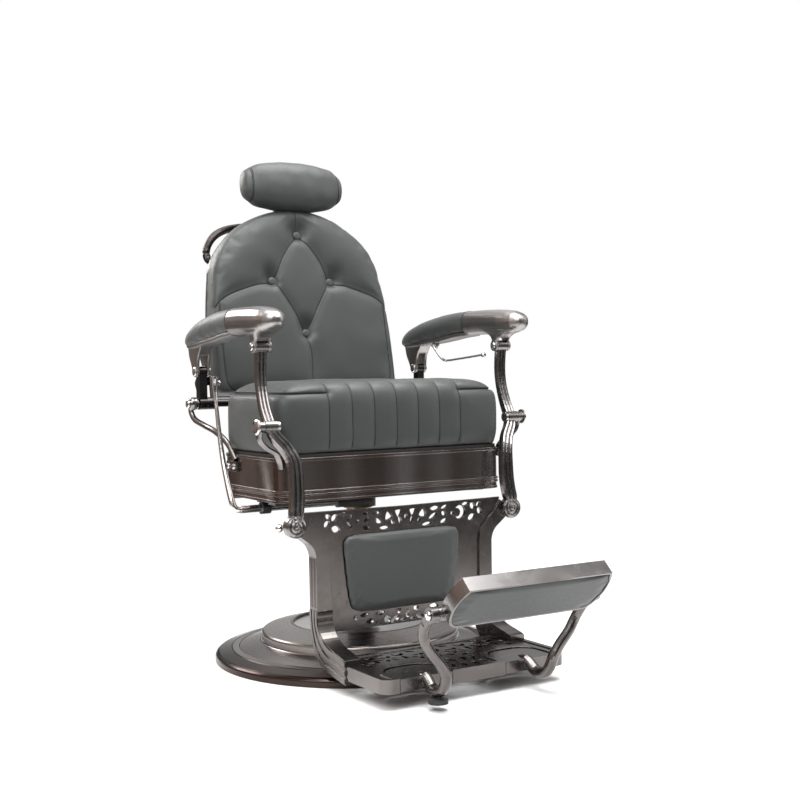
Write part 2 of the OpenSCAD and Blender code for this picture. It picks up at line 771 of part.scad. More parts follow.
// The bar between the rear pivot and the armrest's rear pin, with its bracket to the shell.
module back_bar() {
    y = rear_pivot_y;
    z0 = rear_pivot_z;
    z1 = rear_pivot_z + back_link;
    foot_x = back_half_w - 52;
    color(dark_metal) difference() {
        union() {
            translate([bar_x - bar_half_w, 0, 0]) rotate([90, 0, 90]) linear_extrude(2 * bar_half_w) union() {
                translate([y, z0]) circle(r = 14);
                translate([y, z1]) circle(r = 12);
                polygon([[y - 11, z0], [y + 11, z0], [y + 10, z1], [y - 10, z1]]);
            }
            sweep(smooth([[bar_x - 2, y + 6, z0 + 16], [bar_x - 12, y + 40, z0 + 22],
                [bar_x - 26, y + 80, z0 + 36], [bar_x - 36, y + 106, z0 + 58],
                [foot_x + 36, y + 120, z0 + 76]], 4), [[-4, -9], [4, -9], [4, 9], [-4, 9]]);
            on_back() translate([foot_x, shell_back + 4.2, 0]) cube([58, 6, 44]);
        }
        rod_x(bar_x - bar_half_w - 1, bar_x + bar_half_w + 1, y, z0, pivot_r + run);
        rod_x(bar_x - bar_half_w - 1, bar_x + bar_half_w + 1, y, z1, pin_r + run);
        on_back() translate([0, shell_back - 30.1, -20]) cube([back_half_w + 4, 30, 120]);
    }
}

module back_bar_l() { mirror([1, 0, 0]) back_bar(); }
module back_bar_r() { back_bar(); }

module back_yoke() {
    tube_x = bar_x - bar_half_w - 12;
    cup_x = bar_x - bar_half_w;
    slot_r = pin_r + 0.8;
    lug_end = yoke_r + 2;
    color(dark_metal) difference() {
        union() {
            rod_x(-tube_x, tube_x, rear_pivot_y, rear_pivot_z, 9);
            mirrored() rod_x(tube_x - 12, cup_x, rear_pivot_y, rear_pivot_z, 14);
            mirrored() translate([lug_gap, rear_pivot_y, rear_pivot_z]) rotate([-yoke_drop, 0, 0])
                rotate([90, 0, 90]) linear_extrude(lug_t) union() {
                    circle(r = 15);
                    polygon([[0, -15], [lug_end, -11], [lug_end, 11], [0, 15]]);
                    translate([lug_end, 0]) circle(r = 11);
                }
        }
        mirrored() rod_x(cup_x - 8, cup_x + 1, rear_pivot_y, rear_pivot_z, pivot_r + 4.5);
        translate([0, rear_pivot_y, rear_pivot_z]) rotate([-yoke_drop, 0, 0]) {
            for (t = [-1, 1]) rod_x(-40, 40, yoke_r + t * slot_half, 0, slot_r);
            translate([-40, yoke_r - slot_half, -slot_r]) cube([80, 2 * slot_half, 2 * slot_r]);
        }
    }
}

rail_y = shell_back + 32;
rail_foot_x = 188;
rail_foot_h = 300;

// One half of the grab rail behind the shoulders, from its foot to the middle, as [x, depth, h].
rail_half = [[rail_foot_x, shell_back + 3, rail_foot_h], [rail_foot_x + 2, shell_back + 12, rail_foot_h + 1],
    [rail_foot_x + 8, rail_y - 4, rail_foot_h + 10], [rail_foot_x + 10, rail_y, rail_foot_h + 30],
    [rail_foot_x, rail_y, rail_foot_h + 54], [rail_foot_x - 22, rail_y, rail_foot_h + 76],
    [rail_foot_x - 58, rail_y, rail_foot_h + 91], [rail_foot_x - 122, rail_y, rail_foot_h + 100]];

module back_rail() {
    n = len(rail_half);
    color(dark_metal) on_back() {
        mirrored() translate([rail_foot_x, shell_back + side_gap, rail_foot_h]) rotate([-90, 0, 0])
            cylinder(r = 11, h = 4);
        sweep(smooth(concat([for (q = rail_half) [-q[0], q[1], q[2]]],
            [[0, rail_y, rail_foot_h + 103]], [for (i = [n - 1 : -1 : 0]) rail_half[i]]), 3),
            oval(9.5, 9.5, 12), side = [0, 0, 1]);
    }
}

module rear_arm_pins() {
    out = bar_half_w + ear_t + 2 * side_gap;
    color(bright) mirrored() {
        rod_x(bar_x - out - 1, bar_x + out + 1, rear_pivot_y, rear_pivot_z + back_link, pin_r);
        translate([bar_x + out, rear_pivot_y, rear_pivot_z + back_link]) dome_head(10.5, 4);
        translate([bar_x - out, rear_pivot_y, rear_pivot_z + back_link])
            rotate([0, 0, 180]) dome_head(10.5, 4);
    }
}

// ---- Headrest ----

post_w = 30;
post_t = 8;
post_y = shell_back + 14;
socket_z = back_len - back_drop - 96;
head_h = back_len - back_drop + headrest_h / 2 + 1;
head_back_y = 60;
head_plate_t = 5;
head_pivot_y = head_back_y + 24;
head_ear_t = 6;
head_ear_x = post_w / 2 + 1;
post_travel = 120;

module headrest_socket() {
    color(gunmetal) on_back() difference() {
        union() {
            translate([-post_w / 2 - 10, shell_back + 4.2, socket_z]) cube([post_w + 20, post_y + 10 - shell_back - 4.2, 44]);
            translate([0, post_y + 9, socket_z + 22]) rotate([-90, 0, 0]) cylinder(r = 11, h = 8);
        }
        translate([-post_w / 2 - 0.4, post_y - post_t / 2 - 0.4, socket_z - 1])
            cube([post_w + 0.8, post_t + 0.8, 46]);
        translate([0, post_y + post_t / 2 - 1, socket_z + 22]) rotate([-90, 0, 0])
            cylinder(r = 4 + run, h = 30);
    }
}

module socket_knob() {
    y0 = post_y + post_t / 2 + 1.2;
    color(dark_metal) on_back() translate([0, y0, socket_z + 22]) rotate([-90, 0, 0]) {
        cylinder(r = 4, h = 20);
        translate([0, 0, 14.6]) difference() {
            cylinder(r = 19, h = 13);
            for (a = [0 : 45 : 315]) rotate([0, 0, a]) translate([21, 0, -1]) cylinder(r = 5, h = 15);
        }
    }
}

module headrest_post() {
    foot = socket_z - 100;
    color(bright) on_back() {
        translate([-post_w / 2, post_y - post_t / 2, foot]) cube([post_w, post_t, head_h + 12 - foot]);
        difference() {
            union() {
                translate([-post_w / 2, head_pivot_y, head_h - 12]) cube([post_w, post_y - head_pivot_y, 24]);
                rod_x(-post_w / 2, post_w / 2, head_pivot_y, head_h, 12);
            }
            rod_x(-post_w, post_w, head_pivot_y, head_h, pin_r + run);
        }
    }
}

module headrest_plate() {
    z = head_h;
    out = head_ear_x + head_ear_t;
    color(dark_metal) on_back() {
        translate([-70, head_back_y, z - 26]) cube([140, head_plate_t, 52]);
        for (x = [-out, head_ear_x]) {
            translate([x, head_back_y + head_plate_t - 1, z - 11])
                cube([head_ear_t, head_pivot_y - head_back_y - head_plate_t + 1, 22]);
            rod_x(x, x + head_ear_t, head_pivot_y, z, 11);
        }
        rod_x(-out, out, head_pivot_y, z, pin_r);
    }
}

module headrest_cushion() {
    z = head_h;
    d = headrest_d / 2;
    front = head_back_y - soft_gap - headrest_d;
    n = 12;
    color(leather) on_back() translate([0, 0, z]) polyhedron(points = [
        for (i = [0 : n], j = [0 : 19])
            let (u = -90 + 180 * i / n, q = squircle(-360 * j / 20, 2.5),
                k = pow(max(0.02, cos(u)), 0.5))
            [headrest_w / 2 * sin(u), front + d + d * k * q[0], headrest_h / 2 * k * q[1]]],
        faces = tube_faces(n + 1, 20), convexity = 4);
}

// ---- Armrests ----

// Stations along an armrest, front to back: [y, shift from arm_x, lower z, upper z, half width].
arm_stations = [[-229, 2, 737, 748, 6], [-226, 2, 732, 753, 13], [-219, 2, 727, 759, 20],
    [-208, 2, 722, 764, 26], [-190, 2, 718, 769, 30], [-165, 1, 716, 772, 31], [-130, 1, 716, 774, 31],
    [-90, 0, 718, 775, 30], [-55, 0, 718, 775, 30], [-34, -1, 717, 775, 30.5]];
pad_stations = [[-33, -1, 717, 775, 30], [10, -2, 714, 774, 31], [50, -3, 709, 772, 31],
    [90, -4, 705, 768, 31], [127, -5, 702, 763, 31], [160, -7, 699, 757, 30], [190, -8, 697, 749, 29],
    [215, -9, 696, 741, 26], [235, -9, 698, 731, 21], [248, -10, 702, 722, 13], [254, -10, 706, 715, 6]];
core_h = 10;
core_half = 0.72;

function arm_place(s) = [s[0], arm_x + s[1], s[2], s[3], s[4] * arm_half_w / 31];

// The metal underside that the padding is drawn over, grown by g.
module arm_core(g = 0) {
    last = len(pad_stations) - 3;
    loft_y([for (i = [0 : last]) let (s = arm_place(pad_stations[i]))
        [s[0] + (i == 0 ? -2 : 0) + (i == last ? g : 0), s[1], s[2] - 1 - 3 * g, s[2] + core_h + g,
        s[4] * core_half + g]], 6, 12);
}

module arm_pad() {
    color(leather) difference() {
        loft_y([for (s = pad_stations) arm_place(s)], 2.5);
        arm_core(soft_gap);
    }
}

// One cheek of the fork on an armrest's rear end, wide where it leaves the arm.
module rear_cheek_2d() {
    y = rear_pivot_y;
    z = rear_pivot_z + back_link;
    top = pad_stations[6][2] + 4;
    polygon(concat(smooth([[y - 12, z - 1], [y - 13, z + 20], [y - 20, z + 38], [y - 36, top]], 4),
        smooth([[y + 38, top], [y + 32, z + 34], [y + 19, z + 12], [y + 11, z - 5]], 4)));
    translate([y, z]) circle(r = 12.5);
}

module armrest() {
    y1 = -front_pin_y;
    z1 = front_pin_z;
    y2 = rear_pivot_y;
    z2 = rear_pivot_z + back_link;
    gap = s_arm_half_w + side_gap;
    gap2 = bar_half_w + side_gap;
    out = gap + ear_t;
    color(gunmetal) difference() {
        union() {
            loft_y([for (s = arm_stations) arm_place(s)], 2.5, 24);
            arm_core();
            loft_z([[z1, arm_x, y1, out, 12], [z1 + 12, arm_x, y1, out, 13], [z1 + 19, arm_x, y1 - 1, out + 1, 18],
                [z1 + 25, arm_x, y1 - 3, out + 3, 28], [z1 + 30, arm_x, y1 - 5, out + 6, 42],
                [z1 + 35, arm_x, y1 - 6, out + 8, 58]], 3.4, 24);
            rod_x(arm_x - out, arm_x + out, y1, z1, 12.5);
            translate([bar_x - gap2 - ear_t, 0, 0]) rotate([90, 0, 90]) linear_extrude(2 * (gap2 + ear_t))
                rear_cheek_2d();
        }
        rod_x(arm_x - out - 1, arm_x + out + 1, y1, z1, pin_r + run);
        rod_x(bar_x - gap2 - ear_t - 1, bar_x + gap2 + ear_t + 1, y2, z2, pin_r + 2.8);
        translate([arm_x - gap, y1 - 30, z1 - 20]) cube([2 * gap, 60, 38]);
        translate([bar_x - gap2, y2 - 60, z2 - 20]) cube([2 * gap2, 120, 58]);
    }
}

module armrest_l() { mirror([1, 0, 0]) armrest(); }
module arm_pad_l() { mirror([1, 0, 0]) arm_pad(); }
module arm_pad_r() { arm_pad(); }

wire_x = arm_x - 27;
wire_y = 86;
wire_z = lookup(wire_y, [for (s = pad_stations) [s[0], s[2]]]) - 9;

module armrest_r() {
    armrest();
    color(gunmetal) difference() {
        union() {
            translate([wire_x - 4, wire_y - 7, wire_z]) cube([11, 14, 9.5]);
            rod_x(wire_x - 4, wire_x + 4, wire_y, wire_z, 7);
        }
        rod_x(wire_x - 5, wire_x + 6 + side_gap, wire_y, wire_z, wire_r + run);
    }
}

module release_wire() {
    color(bright) {
        rod_x(wire_x - 10, wire_x + 6, wire_y, wire_z, wire_r);
        sweep(smooth([[wire_x - 7, wire_y, wire_z], [wire_x - 8, wire_y - 10, wire_z - 8],
            [wire_x - 9, wire_y - 38, wire_z - 30],
            [wire_x - 7, wire_y - 52, wire_z - 36], [wire_x - 4, wire_y - 74, wire_z - 36],
            [wire_x - 2, wire_y - 200, wire_z - 26]], 4), oval(wire_r, wire_r, 8));
        translate([wire_x - 2, wire_y - 202, wire_z - 26]) sphere(r = wire_r + 3, $fn = 24);
    }
}

// ---- S-arms and leg frame ----

// The clasp at the foot of the S-arm: a ribbed disc over the head of the leg frame's stile.
clasp_x = waist_half_w + 49;
clasp_z = 328;
clasp_r = 23;
clasp_back = -206;
cheek_t = 8;
cheek_x = waist_half_w + 46;
bolt_y = -187;

s_arm_path = smooth([[arm_x, -front_pin_y, front_pin_z - 6], [arm_x, -140, 660], [arm_x, -139, 630],
    [arm_x, -144, 598], [arm_x, -157, 562], [arm_x - 2, -front_pivot_y + 4, 530], [arm_x - 9, -184, 508],
    [arm_x - 26, -195, 485], [arm_x - 37, -206, 460], [arm_x - 40, -210, 430], [clasp_x - 6, -212, 396],
    [clasp_x - 4, -215, 370], [clasp_x - 1, -217.5, 350], [clasp_x, -217, clasp_z + 3]], 3);

// How much wider and deeper the casting is at each height than at its upper end.
s_arm_swell = [[clasp_z, 0.9], [clasp_z + 26, 1.24], [400, 1.26], [470, 1.16], [530, 1.02], [600, 0.94], [front_pin_z, 0.98]];

module s_arm() {
    color(gunmetal) difference() {
        union() {
            sweep(s_arm_path, fluted(s_arm_half_w - 1, 9), [for (q = s_arm_path) lookup(q[2], s_arm_swell)]);
            rod_x(arm_x - s_arm_half_w, arm_x + s_arm_half_w, -front_pin_y, front_pin_z, 12);
            rod_x(arm_x - s_arm_half_w, arm_x + s_arm_half_w, -front_pivot_y, front_pivot_z, 12.5);
            translate([clasp_x, clasp_back, clasp_z]) rotate([90, 0, 0]) rotate_extrude() polygon([[0, 0],
                [clasp_r, 0], [clasp_r, 15], [0.94 * clasp_r, 19], [0.82 * clasp_r, 21], [0.7 * clasp_r, 19.5],
                [0.64 * clasp_r, 17.5], [0.58 * clasp_r, 19.5], [0.46 * clasp_r, 21.5], [0.34 * clasp_r, 20],
                [0.28 * clasp_r, 18], [0.22 * clasp_r, 20], [0, 22]]);
            translate([cheek_x + 0.3, clasp_back - 8, clasp_z - 14]) cube([cheek_t - 0.6, bolt_y - clasp_back + 8, 20]);
            rod_x(cheek_x, cheek_x + cheek_t, bolt_y, clasp_z - 4, 13);
        }
        rod_x(arm_x - 40, arm_x + 40, -front_pin_y, front_pin_z, pin_r + run);
        rod_x(arm_x - 40, arm_x + 40, -front_pivot_y, front_pivot_z, pivot_r + run);
        rod_x(arm_x - 40, arm_x - s_arm_half_w, -front_pivot_y, front_pivot_z, pivot_r + 4.5);
        rod_x(cheek_x - 1, cheek_x + cheek_t + 1, bolt_y, clasp_z - 4, leg_bolt_r + run);
    }
}

module s_arm_l() { mirror([1, 0, 0]) s_arm(); }
module s_arm_r() { s_arm(); }

module front_arm_pins() {
    out = s_arm_half_w + ear_t + 2 * side_gap;
    color(bright) mirrored() {
        rod_x(arm_x - out - 1, arm_x + out + 1, -front_pin_y, front_pin_z, pin_r);
        translate([arm_x + out, -front_pin_y, front_pin_z]) dome_head(8, 4);
        translate([arm_x - out, -front_pin_y, front_pin_z]) rotate([0, 0, 180]) dome_head(8, 4);
    }
}

panel_y = -206;
stile_front = -211;
flute_r = 4.5;

// Outer edge of a stile from its head down to the foot, as [x, z].
function stile_outer() = smooth([for (q = [[42, 340], [45, 326], [41, 311], [27, 299], [10, 285], [1, 266],
    [0, 240], [0, 150]]) [waist_half_w + q[0], q[1]]], 5);

// Line between the stile and the flat panel, from the foot up to the head.
function stile_inner() = smooth([for (q = [[0, 150], [1, 238], [2, 268], [9, 288], [25, 307], [44, 326],
    [58, 348]]) [panel_half_w + q[0], q[1]]], 5);

// Rear and front edges of the curved foot, as [y, z], from the stile down to the toe.
function foot_rear() = smooth([[-177, 151], [-179, 128], [-185, 97], [-198, 62], [-224, 41], [-262, 31],
    [-300, 25], [-322, 22]], 4);
function foot_front() = smooth([[-212, 151], [-211, 137], [-215, 119], [-232, 98], [-262, 84], [-296, 76],
    [-315, 72], [-322, 70]], 4);

module foot_profile(a, b) {
    r = foot_rear();
    f = foot_front();
    n = len(r);
    polygon(concat([for (i = [0 : n - 1]) r[i] * (1 - a) + f[i] * a],
        [for (i = [n - 1 : -1 : 0]) r[i] * (1 - b) + f[i] * b]));
}

module along_x(x0, w) {
    translate([x0, 0, 0]) rotate([90, 0, 90]) linear_extrude(w) children();
}

foot_w = waist_half_w - panel_half_w + 1;
toe_y = -322;

// A leaf-shaped opening of length l and width w, pointing along X.
module leaf(l, w) {
    r = (l * l + w * w) / (4 * w);
    intersection() {
        translate([0, r - w / 2]) circle(r = r);
        translate([0, w / 2 - r]) circle(r = r);
    }
}

// A crescent: a disc with an offset disc taken out.
module crescent(r, cut, shift) {
    difference() {
        circle(r = r);
        translate([shift, 0]) circle(r = cut);
    }
}

module place(x, z, a = 0) {
    translate([x, z]) rotate(a) children();
}

// A triangle with bulging sides and inner radius r, one corner pointing along X.
module bulged_triangle(r) {
    intersection_for(a = [0 : 120 : 240]) rotate(a) translate([2.4 * r, 0]) circle(r = 3.4 * r);
}

// Openwork of the upper band, one half, drawn about the middle of the band.
module top_scroll() {
    place(188, 14, 40) leaf(14, 10);
    place(173, 11, -45) leaf(18, 13);
    place(191, -1, -50) leaf(17, 12);
    place(170, -13, 20) leaf(22, 14);
    place(154, 17, 0) leaf(20, 8);
    place(139, 0, 180) crescent(15, 9.5, 9);
    place(119, -1) circle(r = 4.5);
    place(99, 14, 12) leaf(20, 8);
    place(97, 0, -30) leaf(15, 10);
    place(97, -16, 14) leaf(20, 10);
    place(74, 13, 0) leaf(26, 10);
    place(69, -3, 26) leaf(26, 10);
    place(53, -19, 4) leaf(26, 8);
    place(43, 5, 76) bulged_triangle(7.5);
    place(33, -9, 58) leaf(16, 7);
    place(18, 10, -90) bulged_triangle(6.8);
    place(15, -5, 74) leaf(22, 8);
}

// Openwork of the lower band, one half.
module low_scroll() {
    place(128, 7) circle(r = 5);
    place(106, 11, -6) leaf(22, 9);
    place(92, -4, -10) leaf(20, 11);
    place(68, 11, -8) leaf(24, 10);
    place(71, -10, 6) leaf(18, 7);
    place(50, -4) circle(r = 8);
    place(31, -6, -30) leaf(27, 12);
    place(22, 11, -90) bulged_triangle(5);
    place(12, -9, 0) leaf(14, 6);
}

module mirrored_2d() {
    children();
    mirror([1, 0]) children();
}

pad_z = 218;
pad_shift = -12;
top_band_z = 327;
low_band_z = 119;

module leg_panel_2d() {
    inner = stile_inner();
    n = len(inner) - 1;
    difference() {
        polygon(concat([[-panel_half_w - 1, panel_bottom], [panel_half_w + 1, panel_bottom]], inner,
            [[inner[n][0] + 4, panel_top], [0, panel_top - 2], [-inner[n][0] - 4, panel_top]],
            [for (i = [n : -1 : 0]) [-inner[i][0], inner[i][1]]]));
        translate([0, top_band_z]) mirrored_2d() top_scroll();
        translate([0, top_band_z + 1]) rotate(90) leaf(15, 8);
        translate([0, low_band_z]) mirrored_2d() low_scroll();
        translate([0, low_band_z + 2]) rotate(90) leaf(19, 10);
    }
}

// Turns an [x, z] drawing into a slab from y0 towards the rear.
module in_xz(y0, t) {
    translate([0, y0 + t, 0]) rotate([90, 0, 0]) linear_extrude(t) children();
}

module leg_frame() {
    color(gunmetal) difference() {
        union() {
            in_xz(panel_y, panel_t) leg_panel_2d();
            mirrored() {
                in_xz(stile_front, stile_d) polygon(concat(stile_outer(), stile_inner()));
                along_x(waist_half_w - foot_w, foot_w) foot_profile(0, 1);
                for (k = [0.06, 0.4, 0.74]) along_x(waist_half_w - tiny, 2.2) foot_profile(k, k + 0.2);
            }
        }
        mirrored() {
            translate([clasp_x, clasp_back + side_gap, clasp_z]) rotate([90, 0, 0])
                cylinder(r = clasp_r + side_gap, h = 40);
            translate([clasp_x - clasp_r, clasp_back + side_gap - 40, clasp_z]) cube([60, 40, 60]);
            rod_x(cheek_x - 30, cheek_x + 1, bolt_y, clasp_z - 4, leg_bolt_r + run);
            for (y = [stile_front + 9, stile_front + 22]) translate([waist_half_w + 0.4 * flute_r, y, 158])
                cylinder(r = flute_r, h = 100);
        }
    }
}

// Outline of the padding on the leg panel.
module leg_pad_2d(g = 0) {
    half = smooth([[102, -82], [119, -77], [129, -62], [136, -20], [143, 50], [142, 69], [134, 80],
        [118, 83]], 4);
    translate([pad_shift, 0]) polygon(concat([for (p = half) [p[0] + g * sign(p[0]), p[1] + g * sign(p[1])]],
        [for (i = [len(half) - 1 : -1 : 0]) [-half[i][0] - g, half[i][1] + g * sign(half[i][1])]]));
}

module leg_pad() {
    color(leather) translate([0, 0, pad_z]) {
        in_xz(panel_y - soft_gap - leg_pad_t * 0.6, leg_pad_t * 0.6) leg_pad_2d();
        in_xz(panel_y - soft_gap - leg_pad_t, leg_pad_t * 0.4) leg_pad_2d(-5);
    }
}

leg_bolt_r = 5;

module leg_bolts() {
    x = cheek_x + cheek_t + 0.3;
    color(bright) mirrored() {
        rod_x(cheek_x - 28, x + 12, bolt_y, clasp_z - 4, leg_bolt_r);
        translate([x, bolt_y, clasp_z - 4]) dome_head(9, 3);
        translate([x + 16, bolt_y, clasp_z - 4]) sphere(r = 8, $fn = 32);
    }
}

// ---- Footplate ----

plate_rear = 250;
skirt_h = 28;
rib = 12;
plate_corner = 22;
notch_back = 376;
notch_r = 44;
hinge_y = 404;
hinge_z = 46;
hinge_r = 6;
hinge_half = notch_half_w + 9;

module plate_outline(g = 0) {
    w = plate_half_w + g;
    r = plate_corner + g;
    translate([-w, -plate_front - g + r]) square([2 * w, plate_front - plate_rear + 2 * g - r]);
    translate([-w + r, -plate_front - g]) square([2 * (w - r), r + tiny]);
    for (s = [-1, 1]) translate([s * (w - r), -plate_front - g + r]) circle(r = r);
}

// A tongue open to the front, with a round rear end at back, grown by g.
module tongue_2d(half, r, back, front) {
    translate([-half, -front]) square([2 * half, front - back - r]);
    translate([-half + r, -back - r - tiny]) square([2 * (half - r), r + tiny]);
    for (s = [-1, 1]) translate([s * (half - r), -back - r]) circle(r = r);
}

module notch_2d() {
    for (s = [-1, 1]) translate([s * arm_foot_x, 0])
        tongue_2d(notch_half_w, notch_r, notch_back, plate_front + 20);
}

// Openwork of the footplate, one half.
module plate_scroll() {
    for (c = [[40, -322], [112, -308], [178, -322]]) {
        for (a = [0 : 60 : 300]) translate(c) place(16 * cos(a), 16 * sin(a), a) leaf(19, 10);
        translate(c) circle(r = 3.5);
    }
    for (x = [76, 146]) translate([x, -284]) rotate(90) crescent(13, 9, 7);
    for (x = [76, 145]) place(x, -318, 90) leaf(34, 10);
    place(10, -300, 66) leaf(34, 11);
    place(12, -344, -66) leaf(34, 11);
    place(40, -276, 4) leaf(34, 11);
    place(112, -272, 0) leaf(34, 9);
    place(178, -278, -6) leaf(34, 11);
    place(188, -352, 80) leaf(20, 8);
    place(40, -360, 26) leaf(24, 10);
    place(14, -392, 80) leaf(38, 13);
    place(34, -398, 64) leaf(26, 9);
    place(14, -436, 96) leaf(30, 12);
    place(36, -430, 112) leaf(24, 9);
}

module footplate() {
    color(gunmetal) difference() {
        union() {
            translate([0, 0, plate_top - plate_t]) linear_extrude(plate_t - 2) difference() {
                plate_outline();
                mirrored_2d() plate_scroll();
            }
            translate([0, 0, plate_top - skirt_h]) linear_extrude(skirt_h) difference() {
                plate_outline();
                plate_outline(-rib);
                translate([-plate_half_w, -plate_rear - 60]) square([2 * plate_half_w, 100]);
            }
            translate([0, 0, plate_top - plate_t - 6]) linear_extrude(plate_t + 6) difference() {
                plate_outline();
                plate_outline(-rib);
            }
            for (s = [-1, 1]) translate([s * arm_foot_x, 0, plate_top - skirt_h]) linear_extrude(skirt_h)
                tongue_2d(notch_half_w + rib, notch_r + rib, notch_back - rib, plate_front - 0.5);
            mirrored() translate([plate_half_w - foot_w - 2, toe_y - 40, plate_top - skirt_h])
                cube([foot_w - 4, 40, skirt_h - 2]);
        }
        translate([0, 0, -1]) linear_extrude(200) notch_2d();
        mirrored() {
            rod_x(arm_foot_x - hinge_half, arm_foot_x + hinge_half, -hinge_y, hinge_z, hinge_r + run);
            translate([waist_half_w - foot_w - 0.5, toe_y - 0.4, 0]) cube([foot_w + 10, 100, 100]);
            for (a = [10 : 10 : 50]) translate([arm_foot_x, -hinge_y, hinge_z]) rotate([-a, 0, 0])
                hinge_block(-block_gap / 2);
        }
    }
}

module hinge_pins() {
    color(bright) mirrored()
        rod_x(arm_foot_x - hinge_half + 0.2, arm_foot_x + hinge_half - 0.2, -hinge_y, hinge_z, hinge_r);
}

// ---- Footrest ----

pad_bolt_y = -588;
pad_bolt_z = 199;
boss_x = foot_pad_half_w + 10;
boss_half_w = 8;
block_gap = 1.2;
block_h = 24;
foot_arm_path = smooth([[arm_foot_x - 2, -hinge_y - 24, 44], [arm_foot_x - 2, -hinge_y - 44, 50],
    [arm_foot_x - 2, -460, 52], [arm_foot_x - 1, -474, 44], [arm_foot_x, -486, 36], [arm_foot_x, -504, 35],
    [arm_foot_x, -521, 42], [arm_foot_x + 1, -533, 57], [arm_foot_x + 5, -538, 75], [arm_foot_x + 19, -541, 97],
    [arm_foot_x + 40, -543, 121], [boss_x - 7, -546, 149], [boss_x, -562, 176],
    [boss_x, pad_bolt_y, pad_bolt_z]], 3);

// The block in the notch, drawn about the hinge and grown by g.
module hinge_block(g) {
    translate([0, hinge_y, -block_h / 2]) linear_extrude(block_h)
        tongue_2d(notch_half_w + g, notch_r + g, notch_back - g + 2.8, plate_front);
}

module footrest_arm() {
    color(gunmetal) difference() {
        union() {
            translate([arm_foot_x, -hinge_y, hinge_z]) hinge_block(-block_gap);
            sweep(foot_arm_path, oval(11, 11, 16), [for (i = [0 : len(foot_arm_path) - 1])
                lookup(i, [[0, 1.1], [12, 1.05], [24, 1], [34, 0.92], [39, 1]])]);
            rod_x(boss_x - boss_half_w, boss_x + boss_half_w, pad_bolt_y, pad_bolt_z, 15);
        }
        rod_x(arm_foot_x - hinge_half, arm_foot_x + hinge_half, -hinge_y, hinge_z, hinge_r + run);
        rod_x(boss_x - 20, boss_x + 20, pad_bolt_y, pad_bolt_z, foot_bolt_r + run);
        rod_x(boss_x + boss_half_w, boss_x + 40, pad_bolt_y, pad_bolt_z, 30);
        rod_x(boss_x - 40, boss_x - boss_half_w, pad_bolt_y, pad_bolt_z, 17);
    }
}

stop_stem_r = 4;

module at_foot_stop() {
    translate([-arm_foot_x, -506, 13]) children();
}

module footrest_arm_l() {
    difference() {
        mirror([1, 0, 0]) footrest_arm();
        at_foot_stop() cylinder(r = stop_stem_r + run, h = 20.5);
    }
}

module footrest_arm_r() { footrest_arm(); }

module foot_stop() {
    color(rubber_black) at_foot_stop() {
        cylinder(r = 19, h = 8);
        translate([0, 0, 8]) cylinder(r1 = 17, r2 = 9, h = 1.6);
        cylinder(r = stop_stem_r, h = 20);
    }
}

pad_angle = 43;
foot_cushion_t = 13;
pad_low = 10;
tray_wall = 4;
tray_back = 4;
tray_face = tray_back - tray_d;
recess_floor = tray_face + foot_cushion_t;

// Finger scoop in the upper edge: a bowl deepest at the face and running out toward the back.
scoop_x = 14;
scoop_half = 59;
scoop_depth = 3.5;
scoop_ahead = 43;

// The foot pad's own frame: the bolts lie on its X axis, +Z runs up the pad, +Y is its metal side.
module on_foot_pad() {
    translate([0, pad_bolt_y, pad_bolt_z]) rotate([pad_angle, 0, 0]) children();
}

// Outline of the foot pad: straight upper edge, sides bulging, lower corners round.
module foot_pad_2d(g = 0) {
    w = foot_pad_half_w + g;
    top = foot_pad_len - pad_low + g;
    low = -pad_low - g;
    right = smooth([[w - 36, low], [w - 22, low + 3], [w - 11, low + 13], [w - 4, low + 29], [w, low + 50],
        [w - 2, low + 74], [w - 8, top - 12], [w - 13, top]], 5);
    polygon(concat(right, [for (i = [len(right) - 1 : -1 : 0]) [-right[i][0], right[i][1]]]));
}

module foot_slab(y0, y1, g = 0) {
    translate([0, y1, 0]) rotate([90, 0, 0]) linear_extrude(y1 - y0) foot_pad_2d(g);
}

module foot_pad_tray() {
    lug_x = foot_pad_half_w - 40;
    lug_len = boss_x - boss_half_w - side_gap - lug_x;
    ball = (scoop_half * scoop_half + scoop_depth * scoop_depth) / (2 * scoop_depth);
    floor_t = tray_d - foot_cushion_t - 3;
    color(gunmetal) on_foot_pad() difference() {
        union() {
            foot_slab(tray_face, tray_back);
            mirrored() translate([lug_x, 0, 0]) rotate([0, 90, 0]) cylinder(r1 = 15, r2 = 12, h = lug_len);
        }
        foot_slab(tray_face - 1, recess_floor, -tray_wall);
        for (k = [-3 : 3]) translate([k * 42 - 18, recess_floor - tiny, 16]) cube([36, floor_t, 66]);
        mirrored() rod_x(foot_pad_half_w - 36, boss_x, 0, 0, foot_bolt_r + run);
        translate([scoop_x, tray_face - scoop_ahead, foot_pad_len - pad_low + ball - scoop_depth])
            sphere(r = norm([ball, scoop_ahead]));
    }
}

module foot_pad_cushion() {
    g = -tray_wall - soft_gap;
    color(leather) on_foot_pad() {
        foot_slab(tray_face + 3, recess_floor - soft_gap, g);
        foot_slab(tray_face - 1.5, tray_face + 3, g - 1.5);
    }
}

module foot_pad_bolts() {
    color(bright) mirrored() {
        rod_x(foot_pad_half_w - 34, boss_x + boss_half_w + side_gap, pad_bolt_y, pad_bolt_z, foot_bolt_r);
        translate([boss_x + boss_half_w + side_gap, pad_bolt_y, pad_bolt_z]) dome_head(9, 5);
    }
}

// ---- Drawing ----

